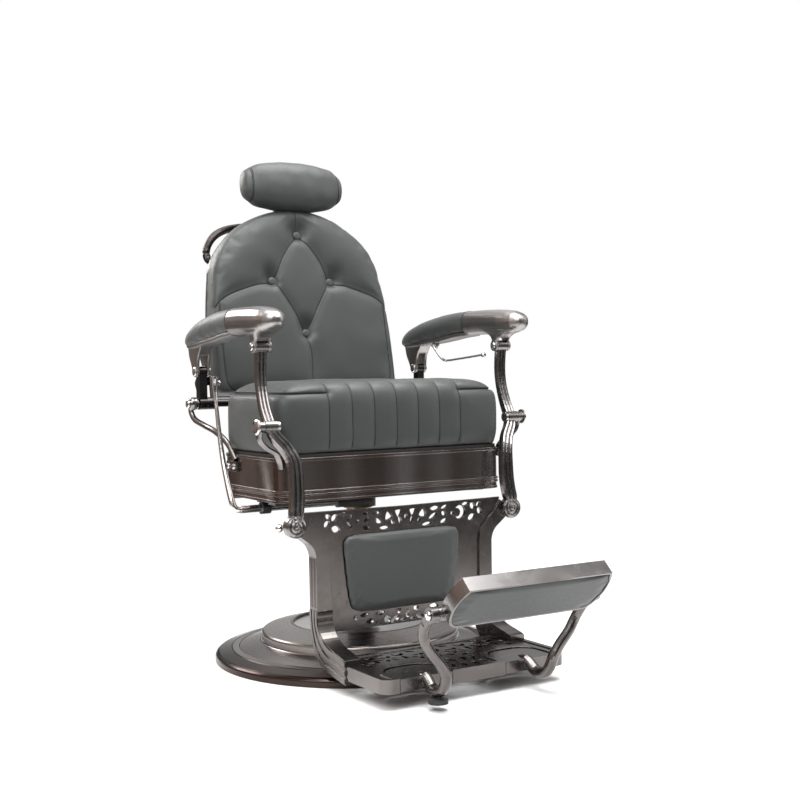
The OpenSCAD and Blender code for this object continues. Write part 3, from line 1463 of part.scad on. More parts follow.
base_plate();
base_ring();
base_cover();
collar_plate();
pump_cylinder();
guide_bush();
ram();
piston();
thrust_washer();
pump_head();
seat_mount();
seat_box();
seat_board();
seat_cushion();
front_bracket_l();
front_bracket_r();
rear_bracket_l();
rear_bracket_r();
front_pivot_bolts();
rear_pivot_bolts();
bracket_screws();
mount_bolts();
lever_bearing();
strut_cylinder();
strut_pin();
strut_rod();
hand_lever();
lever_stud();
back_bar_l();
back_bar_r();
back_yoke();
back_shell();
back_cushion();
back_buttons();
back_rail();
rear_arm_pins();
headrest_socket();
socket_knob();
headrest_post();
headrest_plate();
headrest_cushion();
s_arm_l();
s_arm_r();
leg_frame();
leg_pad();
leg_bolts();
footplate();
hinge_pins();
front_arm_pins();
footrest_arm_l();
footrest_arm_r();
foot_stop();
foot_pad_tray();
foot_pad_cushion();
foot_pad_bolts();
armrest_l();
armrest_r();
arm_pad_l();
arm_pad_r();
release_wire();
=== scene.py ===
import math

import bmesh
import bpy
import numpy as np
from mathutils import Matrix, Vector, noise
from mathutils.bvhtree import BVHTree
from mathutils.kdtree import KDTree


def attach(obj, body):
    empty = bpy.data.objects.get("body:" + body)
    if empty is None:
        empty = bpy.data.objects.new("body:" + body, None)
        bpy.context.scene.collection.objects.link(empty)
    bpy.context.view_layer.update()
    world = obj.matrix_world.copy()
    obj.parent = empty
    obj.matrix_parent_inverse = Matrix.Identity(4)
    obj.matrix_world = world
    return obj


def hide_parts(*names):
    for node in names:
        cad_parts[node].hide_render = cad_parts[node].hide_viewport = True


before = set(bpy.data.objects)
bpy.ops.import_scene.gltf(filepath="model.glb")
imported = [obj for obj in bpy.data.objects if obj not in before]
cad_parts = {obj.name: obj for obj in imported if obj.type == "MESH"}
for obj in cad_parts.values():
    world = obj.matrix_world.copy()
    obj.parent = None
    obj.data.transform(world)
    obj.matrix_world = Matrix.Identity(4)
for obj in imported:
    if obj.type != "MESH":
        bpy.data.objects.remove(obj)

print("barber chair: frame loaded,", len(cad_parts), "CAD nodes")
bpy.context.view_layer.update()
scene = bpy.context.scene


# camera
camera = dict(lens=56.43, place=(-1.407, -2.460, 0.638), turn=-31.79, drop=1.35, roll=-0.99)

lensData = bpy.data.cameras.new("camera")
lensData.lens = camera["lens"]
lensData.sensor_width = 36
cameraObject = bpy.data.objects.new("camera", lensData)
scene.collection.objects.link(cameraObject)
cameraObject.matrix_world = (Matrix.Translation(camera["place"])
                             @ Matrix.Rotation(math.radians(camera["turn"]), 4, "Z")
                             @ Matrix.Rotation(math.radians(90 - camera["drop"]), 4, "X")
                             @ Matrix.Rotation(math.radians(camera["roll"]), 4, "Z"))
scene.camera = cameraObject
print("camera set")


# shader writing
class Wire:  # one output socket that can be used in sums
    def __init__(self, tree, socket):
        self.tree, self.socket = tree, socket

    def sum(self, operation, first, second):
        node = self.tree.nodes.new("ShaderNodeMath")
        node.operation = operation
        for entry, value in zip(node.inputs, (first, second)):
            if isinstance(value, Wire):
                self.tree.links.new(value.socket, entry)
            else:
                entry.default_value = value
        return Wire(self.tree, node.outputs[0])

    def __add__(self, other):
        return self.sum("ADD", self, other)

    def __radd__(self, other):
        return self.sum("ADD", other, self)

    def __mul__(self, other):
        return self.sum("MULTIPLY", self, other)

    def __rmul__(self, other):
        return self.sum("MULTIPLY", other, self)


def solid(colour, share=1):
    return (*[share * c for c in colour], 1)


class Finish:  # a material, or the world, with its node tree
    def __init__(self, name, look=None, owner=None):
        self.material = owner or bpy.data.materials.new(name)
        self.material.use_nodes = True
        self.tree = self.material.node_tree
        self.shader = self.tree.nodes.get("Principled BSDF") or self.tree.nodes["Background"]
        for label, value in (look or {}).items():
            self.shader.inputs[label].default_value = value

    def node(self, kind, settings=None, values=None, take=0):
        made = self.tree.nodes.new(kind)
        for label, value in (settings or {}).items():
            if label == "stops":
                ramp = made.color_ramp
                while len(ramp.elements) < len(value):
                    ramp.elements.new(0.5)
                for element, (place, colour) in zip(ramp.elements, value):
                    element.position = place
                    element.color = (*colour, 1)
            else:
                setattr(made, label, value)
        for label, value in (values or {}).items():
            if isinstance(value, Wire):
                self.tree.links.new(value.socket, made.inputs[label])
            else:
                made.inputs[label].default_value = value
        return Wire(self.tree, made.outputs[take])

    def feed(self, **links):
        for label, wire in links.items():
            self.tree.links.new(wire.socket, self.shader.inputs[label.replace("_", " ")])

    def place(self, stretch=(1, 1, 1)):  # object space, in metres
        spot = self.node("ShaderNodeTexCoord", take="Object")
        return self.node("ShaderNodeMapping", values={"Vector": spot, "Scale": stretch})

    def noise(self, scale, detail=3, stretch=(1, 1, 1), roughness=0.5):
        return self.node("ShaderNodeTexNoise", values={
            "Vector": self.place(stretch), "Scale": scale, "Detail": detail, "Roughness": roughness})

    def spread(self, wire, low, high, fromLow=0.3, fromHigh=0.7):
        return self.node("ShaderNodeMapRange", values={
            "Value": wire, "From Min": fromLow, "From Max": fromHigh, "To Min": low, "To Max": high})

    def blend(self, mask, first, second):
        return self.node("ShaderNodeMix", {"data_type": "RGBA"}, {0: mask, 6: first, 7: second}, take=2)

    def stain(self, mask, under, over):
        return self.node("ShaderNodeMix", {"data_type": "RGBA", "blend_type": "MULTIPLY"},
                         {0: mask, 6: under, 7: over}, take=2)

    def dot(self, vector, way):
        return self.node("ShaderNodeVectorMath", {"operation": "DOT_PRODUCT"}, {0: vector, 1: way},
                         take="Value")

    def length(self, vector):
        return self.node("ShaderNodeVectorMath", {"operation": "LENGTH"}, {0: vector}, take="Value")

    def bump(self, height, distance, strength, below=None):
        values = {"Height": height, "Distance": distance, "Strength": strength}
        if below:
            values["Normal"] = below
        return self.node("ShaderNodeBump", values=values)

    def softEdge(self, radius):
        return self.node("ShaderNodeBevel", {"samples": 4}, {"Radius": radius})


# metals
metalLook = dict(
    cast=(0.250, 0.240, 0.237), castWarm=(0.205, 0.189, 0.182), castRough=0.2,
    frame=(0.165, 0.155, 0.150), frameWarm=(0.138, 0.123, 0.116),
    cap=(0.36, 0.348, 0.342), capWarm=(0.31, 0.292, 0.284), capRough=0.29, capEdge=0.005,
    # the sheet's second, lighter colour is a painted reflection, laid on in vertical bands
    sheet=(0.178, 0.143, 0.128), sheetReflectionBand=(0.395, 0.360, 0.345), sheetRough=0.18,
    sheetGrain=(5, 5, 620), sheetEdge=0.0015,
    cover=(0.235, 0.218, 0.208), coverWarm=(0.175, 0.152, 0.142), coverRough=0.22,
    darkRing=(0.060, 0.044, 0.039), darkRingShade=(0.038, 0.029, 0.026), darkRingRough=0.16,
    iron=(0.060, 0.056, 0.056), ironWarm=(0.042, 0.036, 0.034), ironRough=0.26,
    satin=(0.62, 0.61, 0.6), satinShade=(0.5, 0.49, 0.48), satinRough=0.25,
    nickel=(0.66, 0.65, 0.64), nickelRough=0.1, bronze=(0.5, 0.34, 0.15), bronzeRough=0.25,
    enamel=(0.018, 0.018, 0.02), enamelRough=0.3, dust=(0.11, 0.105, 0.1),
    edge=0.0012, turnedEdge=0.0016, polishedEdge=0.0008)


def castMetal(name, colour, warm, rough, edge=metalLook["edge"]):
    finish = Finish(name, {"Metallic": 1.0, "Specular IOR Level": 0.5})
    cloud = finish.noise(9, 4)
    pits = finish.noise(420, 2)
    rub = finish.noise(38, 5, roughness=0.7)
    shade = finish.blend(finish.spread(cloud, 0, 1), solid(colour), solid(warm))
    darker = finish.stain(finish.spread(rub, 0, 0.16, 0.55, 0.75), shade, (0.55, 0.52, 0.5, 1))
    finish.feed(Base_Color=darker,
                Roughness=finish.spread(rub, rough - 0.03, rough + 0.07) + finish.spread(pits, 0, 0.03),
                Normal=finish.bump(pits * 0.3 + rub * 0.6, 0.0003, 0.12, finish.softEdge(edge)))
    return finish.material


def brushedSheet(name, colour, reflectionBand, rough, stretch, edge):
    finish = Finish(name, {"Metallic": 1.0})
    lines = finish.noise(1, 3, stretch, 0.6)
    fine = finish.noise(1, 2, tuple(3.1 * s for s in stretch))
    # painted reflection: broad vertical light and dark bands in the colour stand in for reflected studio
    # light
    reflectionBands = finish.noise(1, 1, (11, 11, 0.4), 0.4)
    shade = finish.blend(finish.spread(reflectionBands, 0, 1, 0.36, 0.64), solid(colour), solid(reflectionBand))
    streaked = finish.stain(finish.spread(lines, 0, 0.22), shade, (0.66, 0.64, 0.62, 1))
    finish.feed(Base_Color=streaked,
                Roughness=finish.spread(lines, rough - 0.03, rough + 0.08),
                Normal=finish.bump(lines + fine * 0.5, 0.0002, 0.03, finish.softEdge(edge)))
    return finish.material


def turnedMetal(name, colour, dark, rough):  # rings round the column's axis
    finish = Finish(name, {"Metallic": 1.0})
    spot = finish.node("ShaderNodeTexCoord", take="Object")
    flat = finish.node("ShaderNodeVectorMath", {"operation": "MULTIPLY"}, {0: spot, 1: (1, 1, 0)})
    rings = finish.node("ShaderNodeTexNoise", {"noise_dimensions": "1D"},
                        {"W": finish.length(flat) * 420, "Scale": 1, "Detail": 3})
    cloud = finish.noise(5, 3)
    shade = finish.blend(finish.spread(cloud, 0, 1), solid(colour), solid(dark))
    finish.feed(Base_Color=finish.stain(finish.spread(rings, 0, 0.16), shade, (0.6, 0.58, 0.56, 1)),
                Roughness=finish.spread(rings, rough - 0.05, rough + 0.1),
                Normal=finish.bump(rings, 0.0003, 0.06, finish.softEdge(metalLook["turnedEdge"])))
    return finish.material


def polishedMetal(name, colour, rough):
    finish = Finish(name, {"Metallic": 1.0})
    smear = finish.noise(26, 4, roughness=0.65)
    scratch = finish.noise(1, 2, (900, 60, 900))
    finish.feed(Base_Color=finish.blend(finish.spread(smear, 0, 1), solid(colour), solid(colour, 0.86)),
                Roughness=finish.spread(smear, rough, rough + 0.08) + finish.spread(scratch, 0, 0.04),
                Normal=finish.bump(scratch, 0.0001, 0.15, finish.softEdge(metalLook["polishedEdge"])))
    return finish.material


def enamel(name, colour, rough):
    finish = Finish(name, {"Coat Roughness": 0.08, "Coat Weight": 0.3})
    peel = finish.noise(260, 2)
    dust = finish.noise(14, 5, roughness=0.7)
    shade = finish.blend(finish.spread(dust, 0, 0.5), solid(colour), solid(metalLook["dust"]))
    finish.feed(Base_Color=shade,
                Roughness=finish.spread(dust, rough, rough + 0.15),
                Normal=finish.bump(peel, 0.0003, 0.2, finish.softEdge(metalLook["edge"])))
    return finish.material


castFinish = castMetal("castGunmetal", metalLook["cast"], metalLook["castWarm"], metalLook["castRough"])
frameFinish = castMetal("castFrame", metalLook["frame"], metalLook["frameWarm"], metalLook["castRough"])
capFinish = castMetal("castCap", metalLook["cap"], metalLook["capWarm"], metalLook["capRough"],
                      metalLook["capEdge"])
boxFinish = brushedSheet("brushedBox", metalLook["sheet"], metalLook["sheetReflectionBand"], metalLook["sheetRough"],
                         metalLook["sheetGrain"], metalLook["sheetEdge"])
coverFinish = turnedMetal("spunCover", metalLook["cover"], metalLook["coverWarm"], metalLook["coverRough"])
ringFinish = turnedMetal("darkRing", metalLook["darkRing"], metalLook["darkRingShade"],
                         metalLook["darkRingRough"])
darkFinish = castMetal("darkIron", metalLook["iron"], metalLook["ironWarm"], metalLook["ironRough"])
brightFinish = polishedMetal("polishedNickel", metalLook["nickel"], metalLook["nickelRough"])
satinFinish = turnedMetal("satinPlate", metalLook["satin"], metalLook["satinShade"],
                          metalLook["satinRough"])
blackFinish = enamel("blackEnamel", metalLook["enamel"], metalLook["enamelRough"])
bronzeFinish = polishedMetal("bronze", metalLook["bronze"], metalLook["bronzeRough"])


# leather, rubber, wood
# seam: the near-black of the seam cords, a painted shadow line in the seam grooves
leatherLook = dict(colour=(0.048, 0.053, 0.051), shade=(0.038, 0.042, 0.040), rough=0.44, grain=760,
                   seam=(0.012, 0.013, 0.013))
# board and boardDark: the board's near-black is partly a dark stain and partly painted shade for the gap
# under the seat cushion
plainLook = dict(rubber=(0.02, 0.02, 0.021), rubberDust=(0.1, 0.1, 0.1), rubberRough=0.6,
                 board=(0.030, 0.027, 0.025), boardDark=(0.014, 0.013, 0.012))


def hide(name, look):
    finish = Finish(name, {"Specular IOR Level": 0.42, "Sheen Weight": 0.12, "Sheen Roughness": 0.5})
    cells = finish.node("ShaderNodeTexVoronoi", {"feature": "SMOOTH_F1"},
                        {"Vector": finish.place(), "Scale": look["grain"], "Smoothness": 0.6})
    folds = finish.noise(190, 4, roughness=0.6)
    broad = finish.noise(7, 3)
    crease = finish.node("ShaderNodeAttribute", {"attribute_name": "crease"}, take="Fac")
    tone = finish.blend(finish.spread(broad, 0, 1), solid(look["colour"]), solid(look["colour"], 0.86))
    worn = finish.blend(finish.spread(folds, 0, 0.35, 0.45, 0.7), tone, solid(look["shade"]))
    # painted shade: the attribute darkens the colour in the seam grooves, in the dips over the buttons and
    # in a ring round each button
    finish.feed(Base_Color=finish.blend(crease * 0.8, worn, solid(look["colour"], 0.3)),
                Roughness=finish.spread(folds, look["rough"] - 0.05, look["rough"] + 0.08) + crease * 0.2,
                Normal=finish.bump(cells * 0.6 + folds * 0.7, 0.0005, 0.34))
    return finish.material


# the dark cords laid in the seams: a painted shadow line for the shade in the seam grooves
def thread(name, colour):
    finish = Finish(name, {"Specular IOR Level": 0.3})
    twist = finish.noise(900, 2)
    finish.feed(Base_Color=finish.blend(twist, solid(colour), solid(colour, 1.7)),
                Roughness=finish.spread(twist, 0.6, 0.8),
                Normal=finish.bump(twist, 0.0003, 0.4))
    return finish.material


def moulded(name, colour, dusty, rough):
    finish = Finish(name, {"Specular IOR Level": 0.35})
    grit = finish.noise(500, 3)
    dust = finish.noise(30, 4)
    finish.feed(Base_Color=finish.blend(finish.spread(dust, 0, 0.4), solid(colour), solid(dusty)),
                Roughness=finish.spread(grit, rough, rough + 0.15),
                Normal=finish.bump(grit, 0.0004, 0.3))
    return finish.material


def plywood(name, pale, dark):
    finish = Finish(name, {"Specular IOR Level": 0.3})
    rings = finish.noise(1, 5, (4, 90, 300), 0.6)
    plies = finish.node("ShaderNodeTexWave", {"bands_direction": "Z"},
                        {"Vector": finish.place(), "Scale": 70, "Distortion": 0.4})
    finish.feed(Base_Color=finish.blend(rings * 0.6 + plies * 0.3, solid(pale), solid(dark)),
                Roughness=finish.spread(rings, 0.5, 0.7),
                Normal=finish.bump(rings, 0.0004, 0.3))
    return finish.material


leatherFinish = hide("greyLeather", leatherLook)
seamShadowFinish = thread("seamShadow", leatherLook["seam"])
rubberFinish = moulded("blackRubber", plainLook["rubber"], plainLook["rubberDust"],
                       plainLook["rubberRough"])
# near-black board: partly a dark stain, partly painted shade standing in for the shadowed gap under the
# cushion
woodFinish = plywood("plywood", plainLook["board"], plainLook["boardDark"])

dressed = {
    castFinish: ["front_bracket_l", "front_bracket_r", "rear_bracket_l", "rear_bracket_r",
                 "headrest_socket", "s_arm_l", "s_arm_r", "foot_pad_tray", "back_shell"],
    frameFinish: ["leg_frame", "footplate", "footrest_arm_l", "footrest_arm_r"],
    capFinish: ["armrest_l", "armrest_r"],
    boxFinish: ["seat_box"],
    coverFinish: ["base_cover"],
    ringFinish: ["base_ring"],
    satinFinish: ["collar_plate"],
    darkFinish: ["base_plate", "back_bar_l", "back_bar_r", "back_yoke", "socket_knob", "headrest_plate",
                 "back_rail"],
    brightFinish: ["ram", "front_pivot_bolts", "rear_pivot_bolts", "bracket_screws", "mount_bolts",
                   "strut_pin", "strut_rod", "hand_lever", "lever_stud", "rear_arm_pins",
                   "headrest_post", "leg_bolts", "hinge_pins", "front_arm_pins", "foot_pad_bolts",
                   "release_wire"],
    blackFinish: ["pump_cylinder", "pump_head", "seat_mount", "lever_bearing", "strut_cylinder"],
    bronzeFinish: ["guide_bush", "thrust_washer"],
    rubberFinish: ["piston", "foot_stop"],
    woodFinish: ["seat_board"],
}
for finish, names in dressed.items():
    for name in names:
        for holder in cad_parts[name].material_slots:
            holder.material = finish
print("metal, enamel, rubber and wood finishes assigned")


# tools for soft pieces
backPlace = dict(y=0.205, z=0.625, tilt=9.4)
backFrame = (Matrix.Translation((0, backPlace["y"], backPlace["z"]))
             @ Matrix.Rotation(math.radians(-backPlace["tilt"]), 4, "X"))
backInverse = backFrame.inverted()


def addPiece(name, mesh, finish):
    piece = bpy.data.objects.new(name, mesh)
    scene.collection.objects.link(piece)
    mesh.materials.append(finish)
    mesh.shade_smooth()
    return piece


def points(mesh):
    flat = np.empty(len(mesh.vertices) * 3, np.float32)
    mesh.vertices.foreach_get("co", flat)
    return flat.reshape(-1, 3).astype(float)


def setPoints(mesh, places):
    mesh.vertices.foreach_set("co", places.astype(np.float32).ravel())
    mesh.update()


def normals(mesh):
    flat = np.empty(len(mesh.vertices) * 3, np.float32)
    mesh.vertex_normals.foreach_get("vector", flat)
    return flat.reshape(-1, 3).astype(float)


def edgePairs(mesh):
    flat = np.empty(len(mesh.edges) * 2, np.int32)
    mesh.edges.foreach_get("vertices", flat)
    return flat.reshape(-1, 2)


def relax(places, pairs, rounds, free):
    count = np.bincount(pairs.ravel(), minlength=len(places))[:, None]
    for _ in range(rounds):
        total = np.stack([np.bincount(pairs[:, 0], places[pairs[:, 1], axis], len(places))
                          + np.bincount(pairs[:, 1], places[pairs[:, 0], axis], len(places))
                          for axis in range(3)], 1)
        places = places + 0.5 * free[:, None] * (total / count - places)
    return places


def bake(piece):  # the piece's modifiers become its mesh
    graph = bpy.context.evaluated_depsgraph_get()
    mesh = bpy.data.meshes.new_from_object(piece.evaluated_get(graph))
    piece.modifiers.clear()
    old, piece.data = piece.data, mesh
    bpy.data.meshes.remove(old)


def lineSamples(lines, step):
    samples = []
    for line in lines:
        for start, end in zip(line[:-1], line[1:]):
            start, end = Vector(start), Vector(end)
            count = max(1, int((end - start).length / step))
            samples += [start.lerp(end, k / count) for k in range(count)]
        samples.append(Vector(line[-1]))
    return samples


def distanceTo(lines, places, step=0.0012):
    samples = lineSamples(lines, step)
    tree = KDTree(len(samples))
    for index, sample in enumerate(samples):
        tree.insert(sample, index)
    tree.balance()
    return np.array([tree.find(p)[2] for p in places])


def spline(corners, steps=8):  # smooth line through the corners
    last = len(corners) - 1
    line = []
    for i in range(last):
        a, b, c, d = (Vector(corners[j]) for j in (max(i - 1, 0), i, i + 1, min(i + 2, last)))
        for k in range(steps):
            t = k / steps
            line.append(0.5 * (2 * b + (c - a) * t + (2 * a - 5 * b + 4 * c - d) * t * t
                               + (3 * b - a - 3 * c + d) * t ** 3))
    return line + [Vector(corners[-1])]


def surfaceOf(piece):
    return BVHTree.FromObject(piece, bpy.context.evaluated_depsgraph_get())


def castAll(surface, starts, aims):
    found = []
    for start, aim in zip(starts, aims):
        hit = surface.ray_cast(Vector(start), Vector(aim).normalized())[0]
        if hit is not None:
            found.append(hit)
    return found


def shift(places, matrix):
    table = np.array(matrix)
    return places @ table[:3, :3].T + table[:3, 3]


def fitBox(piece, node, frameOf, axes):
    # scales the piece in its own frame so that it fills the box of the CAD piece
    local = shift(points(piece.data), frameOf.inverted())
    goal = shift(points(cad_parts[node].data), frameOf.inverted())
    for axis in axes:
        low, high = local[:, axis].min(), local[:, axis].max()
        share = (local[:, axis] - low) / (high - low)
        local[:, axis] = goal[:, axis].min() + share * (goal[:, axis].max() - goal[:, axis].min())
    setPoints(piece.data, shift(local, frameOf))


def startSoft(name, node, look):
    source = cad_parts[node]
    piece = bpy.data.objects.new(name, source.data.copy())
    scene.collection.objects.link(piece)
    remesh = piece.modifiers.new("remesh", "REMESH")
    remesh.mode = "VOXEL"
    remesh.voxel_size = look["voxel"]
    bake(piece)
    places = points(piece.data)
    places -= normals(piece.data) * look["shrink"]
    setPoints(piece.data, places)
    return piece


clothLook = dict(quality=4, mass=0.3, stiffness=15, frames=20, thread=0.004)


def swell(piece, look, held):
    # held: 0 free to move, 1 stays; Cloth fills the piece with air, then the move is capped
    mesh = piece.data
    start = points(mesh)
    pairs = edgePairs(mesh)
    start = relax(start, pairs, look["relax"], 1 - held(start, firm=True))
    setPoints(mesh, start)
    group = piece.vertex_groups.new(name="held")
    weight = held(start, firm=False)
    for index in np.nonzero(weight > 0.02)[0]:
        group.add([int(index)], float(weight[index]), "REPLACE")
    cloth = piece.modifiers.new("cloth", "CLOTH")
    cloth.settings.use_pressure = True
    cloth.settings.uniform_pressure_force = look["pressure"]
    cloth.settings.effector_weights.gravity = 0
    cloth.settings.vertex_group_mass = "held"
    cloth.settings.quality = clothLook["quality"]
    cloth.settings.mass = clothLook["mass"]
    cloth.settings.tension_stiffness = clothLook["stiffness"]
    cloth.settings.compression_stiffness = clothLook["stiffness"]
    for step in range(1, clothLook["frames"] + 1):
        scene.frame_set(step)
    bake(piece)
    scene.frame_set(1)
    moved = points(piece.data) - start
    length = np.linalg.norm(moved, axis=1)[:, None]
    moved *= np.minimum(1, look["cap"] / np.maximum(length, 1e-9))
    places = relax(start + moved, pairs, 2, 1 - held(start, firm=True))
    setPoints(piece.data, places)


def refine(piece, lines, reach=0.007):
    divide = piece.modifiers.new("divide", "SUBSURF")
    divide.levels = divide.render_levels = 1
    bake(piece)
    if not lines:
        return
    near = distanceTo(lines, points(piece.data)) < reach
    work = bmesh.new()
    work.from_mesh(piece.data)
    chosen = [e for e in work.edges if near[e.verts[0].index] and near[e.verts[1].index]]
    bmesh.ops.subdivide_edges(work, edges=chosen, cuts=1, smooth=0.4, use_grid_fill=True)
    bmesh.ops.triangulate(work, faces=[f for f in work.faces if len(f.verts) > 4])
    work.to_mesh(piece.data)
    work.free()


def sew(piece, lines, depth, width, pull, pullWidth):
    # a narrow groove along each line, with a wide soft dip round it
    places = points(piece.data)
    away = distanceTo(lines, places)
    dip = depth * np.exp(-(away / width) ** 2) + pull * np.exp(-(away / pullWidth) ** 2)
    setPoints(piece.data, places - normals(piece.data) * dip[:, None])
    # painted shade: the groove is also darkened in the leather's colour through this attribute
    shade = np.exp(-(away / (1.1 * width)) ** 2)
    attribute = piece.data.attributes.get("crease") or piece.data.attributes.new("crease", "FLOAT", "POINT")
    old = np.zeros(len(places), np.float32)
    attribute.data.foreach_get("value", old)
    attribute.data.foreach_set("value", np.maximum(old, shade).astype(np.float32))


def shadeRound(piece, local, look, dips):
    # painted shade in the dips and a painted shadow ring round each button
    attribute = piece.data.attributes["crease"]
    shade = np.zeros(len(local), np.float32)
    attribute.data.foreach_get("value", shade)
    shade = np.maximum(shade, look["dipShade"] * dips)
    for x, h in look["buttons"]:
        away = np.hypot(local[:, 0] - x, local[:, 2] - h)
        shade = np.maximum(shade, np.exp(-((away - look["ring"]) / look["shadowRingWidth"]) ** 2))
    attribute.data.foreach_set("value", shade.astype(np.float32))


# thin dark tubes along the seams and the arm pads' edge: painted shadow lines in the grooves
def seamShadowCords(name, lines, radius, body, sides=6):
    work = bmesh.new()
    for line in lines:
        if len(line) < 3:
            continue
        rings, last = [], len(line) - 1
        for i, spot in enumerate(line):
            along = (line[min(i + 1, last)] - line[max(i - 1, 0)]).normalized()
            side = along.orthogonal().normalized()
            if rings:
                side = (lastSide - along * lastSide.dot(along)).normalized()
            lastSide = side
            up = along.cross(side)
            size = radius * (0.3 if i in (0, last) else 1)
            rings.append([work.verts.new(spot + size * (math.cos(a) * side + math.sin(a) * up))
                          for a in (2 * math.pi * k / sides for k in range(sides))])
        for low, high in zip(rings[:-1], rings[1:]):
            for k in range(sides):
                work.faces.new((low[k], low[(k + 1) % sides], high[(k + 1) % sides], high[k]))
        work.faces.new(rings[0][::-1])
        work.faces.new(rings[-1])
    mesh = bpy.data.meshes.new(name)
    bmesh.ops.recalc_face_normals(work, faces=work.faces)
    work.to_mesh(mesh)
    work.free()
    piece = addPiece(name, mesh, seamShadowFinish)
    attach(piece, body)


def finishSoft(piece, node, body):
    mesh = piece.data
    mesh.materials.clear()
    mesh.materials.append(leatherFinish)
    mesh.shade_smooth()
    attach(piece, body)
    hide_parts(node)


def ripple(piece, size, height, seed):  # slow unevenness of stuffed leather
    places = points(piece.data)
    lift = np.array([noise.noise(Vector(p) / size + Vector((seed, 0, 0))) for p in places])
    setPoints(piece.data, places + normals(piece.data) * (height * lift)[:, None])


def ramp(value, low, high):
    return np.clip((value - low) / (high - low), 0, 1)


def threadHold(lines, places, strength):
    return strength * np.exp(-(distanceTo(lines, places) / clothLook["thread"]) ** 2)


# seat cushion
seatLook = dict(voxel=0.005, shrink=0.004, relax=26, pressure=4.0, cap=0.012,
                channels=[-0.164, -0.1093, -0.0547, 0, 0.0547, 0.1093, 0.164],
                seamZ=0.596, base=0.4695, hold=0.9, corner=0.10, barrel=0.004, upper=(0.545, 0.60),
                lower=(-0.505, -0.47), sides=(0.20, 0.28), ends=(0.12, 0.17),
                fall=0.013, fallSides=(0.165, 0.282), fallTop=(0.585, 0.612),
                channelSew=(0.0018, 0.0019, 0.0020, 0.012), channelCord=0.0007,
                rimSew=(0.0030, 0.0028, 0.0030, 0.011), rimCord=0.0012,
                ripple=(0.05, 0.0012, 3.0), fill=0.75)

overTop = spline([(0.150, 0.66), (0.05, 0.66), (-0.06, 0.66), (-0.135, 0.65), (-0.185, 0.625),
                  (-0.21, 0.58), (-0.215, 0.54), (-0.21, 0.50), (-0.205, 0.464)], 10)
rimCorners = [(0.164, -0.3), (0.20, -0.3), (0.24, -0.26), (0.30, -0.19), (0.34, -0.10), (0.34, 0),
              (0.34, 0.08), (0.30, 0.15), (0.22, 0.22)]


def channelSeams(surface):
    aims = [(0, y + 0.03, z - 0.55) for y, z in overTop]
    return [castAll(surface, [(x, -0.03, 0.55)] * len(aims), aims) for x in seatLook["channels"]]


def rimSeams(surface):  # round the top edge, from the outer channel seams to behind the back
    seams = []
    z = seatLook["seamZ"]
    for side in (-1, 1):
        line = spline([(side * x, y, 0) for x, y in rimCorners], 10)
        starts = [(side * 0.164, -0.06, z)] * 11 + [(side * 0.160, -0.06, z)] * (len(line) - 11)
        aims = [(p.x - s[0], p.y - s[1], 0) for p, s in zip(line, starts)]
        seams.append(castAll(surface, starts, aims))
    return seams


def seatHeld(lines):  # the board's side stays, and the thread holds each seam down
    def held(places, firm):
        low = 1 - ramp(places[:, 2], seatLook["base"] + 0.001, seatLook["base"] + 0.016)
        if firm:
            return low
        return np.maximum(low, threadHold(lines, places, seatLook["hold"]))
    return held


def shapeSeat(piece):
    # rounder rear corners, walls that bulge, and a top that falls away to both sides
    places = points(piece.data)
    x, y, z = places.T
    corner = seatLook["corner"]
    dx = np.maximum(np.abs(x) - (np.abs(x).max() - corner), 0)
    dy = np.maximum(y - (y.max() - corner), 0)
    both = (dx > 0) & (dy > 0)
    length = np.where(both, np.hypot(dx, dy), 1)
    squeeze = np.where(both, np.maximum(dx, dy) / length, 1)
    places[:, 0] -= np.sign(x) * dx * (1 - squeeze)
    places[:, 1] -= dy * (1 - squeeze)
    inset = ramp(z, *seatLook["upper"]) ** 2 + 0.6 * ramp(-z, *seatLook["lower"]) ** 2
    inset *= seatLook["barrel"]
    places[:, 0] -= np.sign(x) * inset * ramp(np.abs(x), *seatLook["sides"])
    places[:, 1] -= np.sign(y) * 0.6 * inset * ramp(np.abs(y), *seatLook["ends"])
    drop = ramp(np.abs(x), *seatLook["fallSides"]) ** 2 * ramp(z, *seatLook["fallTop"])
    places[:, 2] -= seatLook["fall"] * drop
    setPoints(piece.data, places)


seat = startSoft("seatCushion", "seat_cushion", seatLook)
seatGuide = surfaceOf(seat)
guideLines = channelSeams(seatGuide) + rimSeams(seatGuide)
swell(seat, seatLook, seatHeld(guideLines))
fitBox(seat, "seat_cushion", Matrix(), (0, 1, 2))
shapeSeat(seat)
seatSurface = surfaceOf(seat)
seatLines = channelSeams(seatSurface)
seatRims = rimSeams(seatSurface)
refine(seat, seatLines + seatRims)
sew(seat, seatLines, *seatLook["channelSew"])
sew(seat, seatRims, *seatLook["rimSew"])
ripple(seat, *seatLook["ripple"])
finishSoft(seat, "seat_cushion", "seat")
seatSurface = surfaceOf(seat)
seamShadowCords("seatSeamShadows", channelSeams(seatSurface), seatLook["channelCord"], "seat")
seamShadowCords("seatRimSeamShadows", rimSeams(seatSurface), seatLook["rimCord"], "seat")
print("seat cushion sewn,", len(seat.data.vertices), "points")


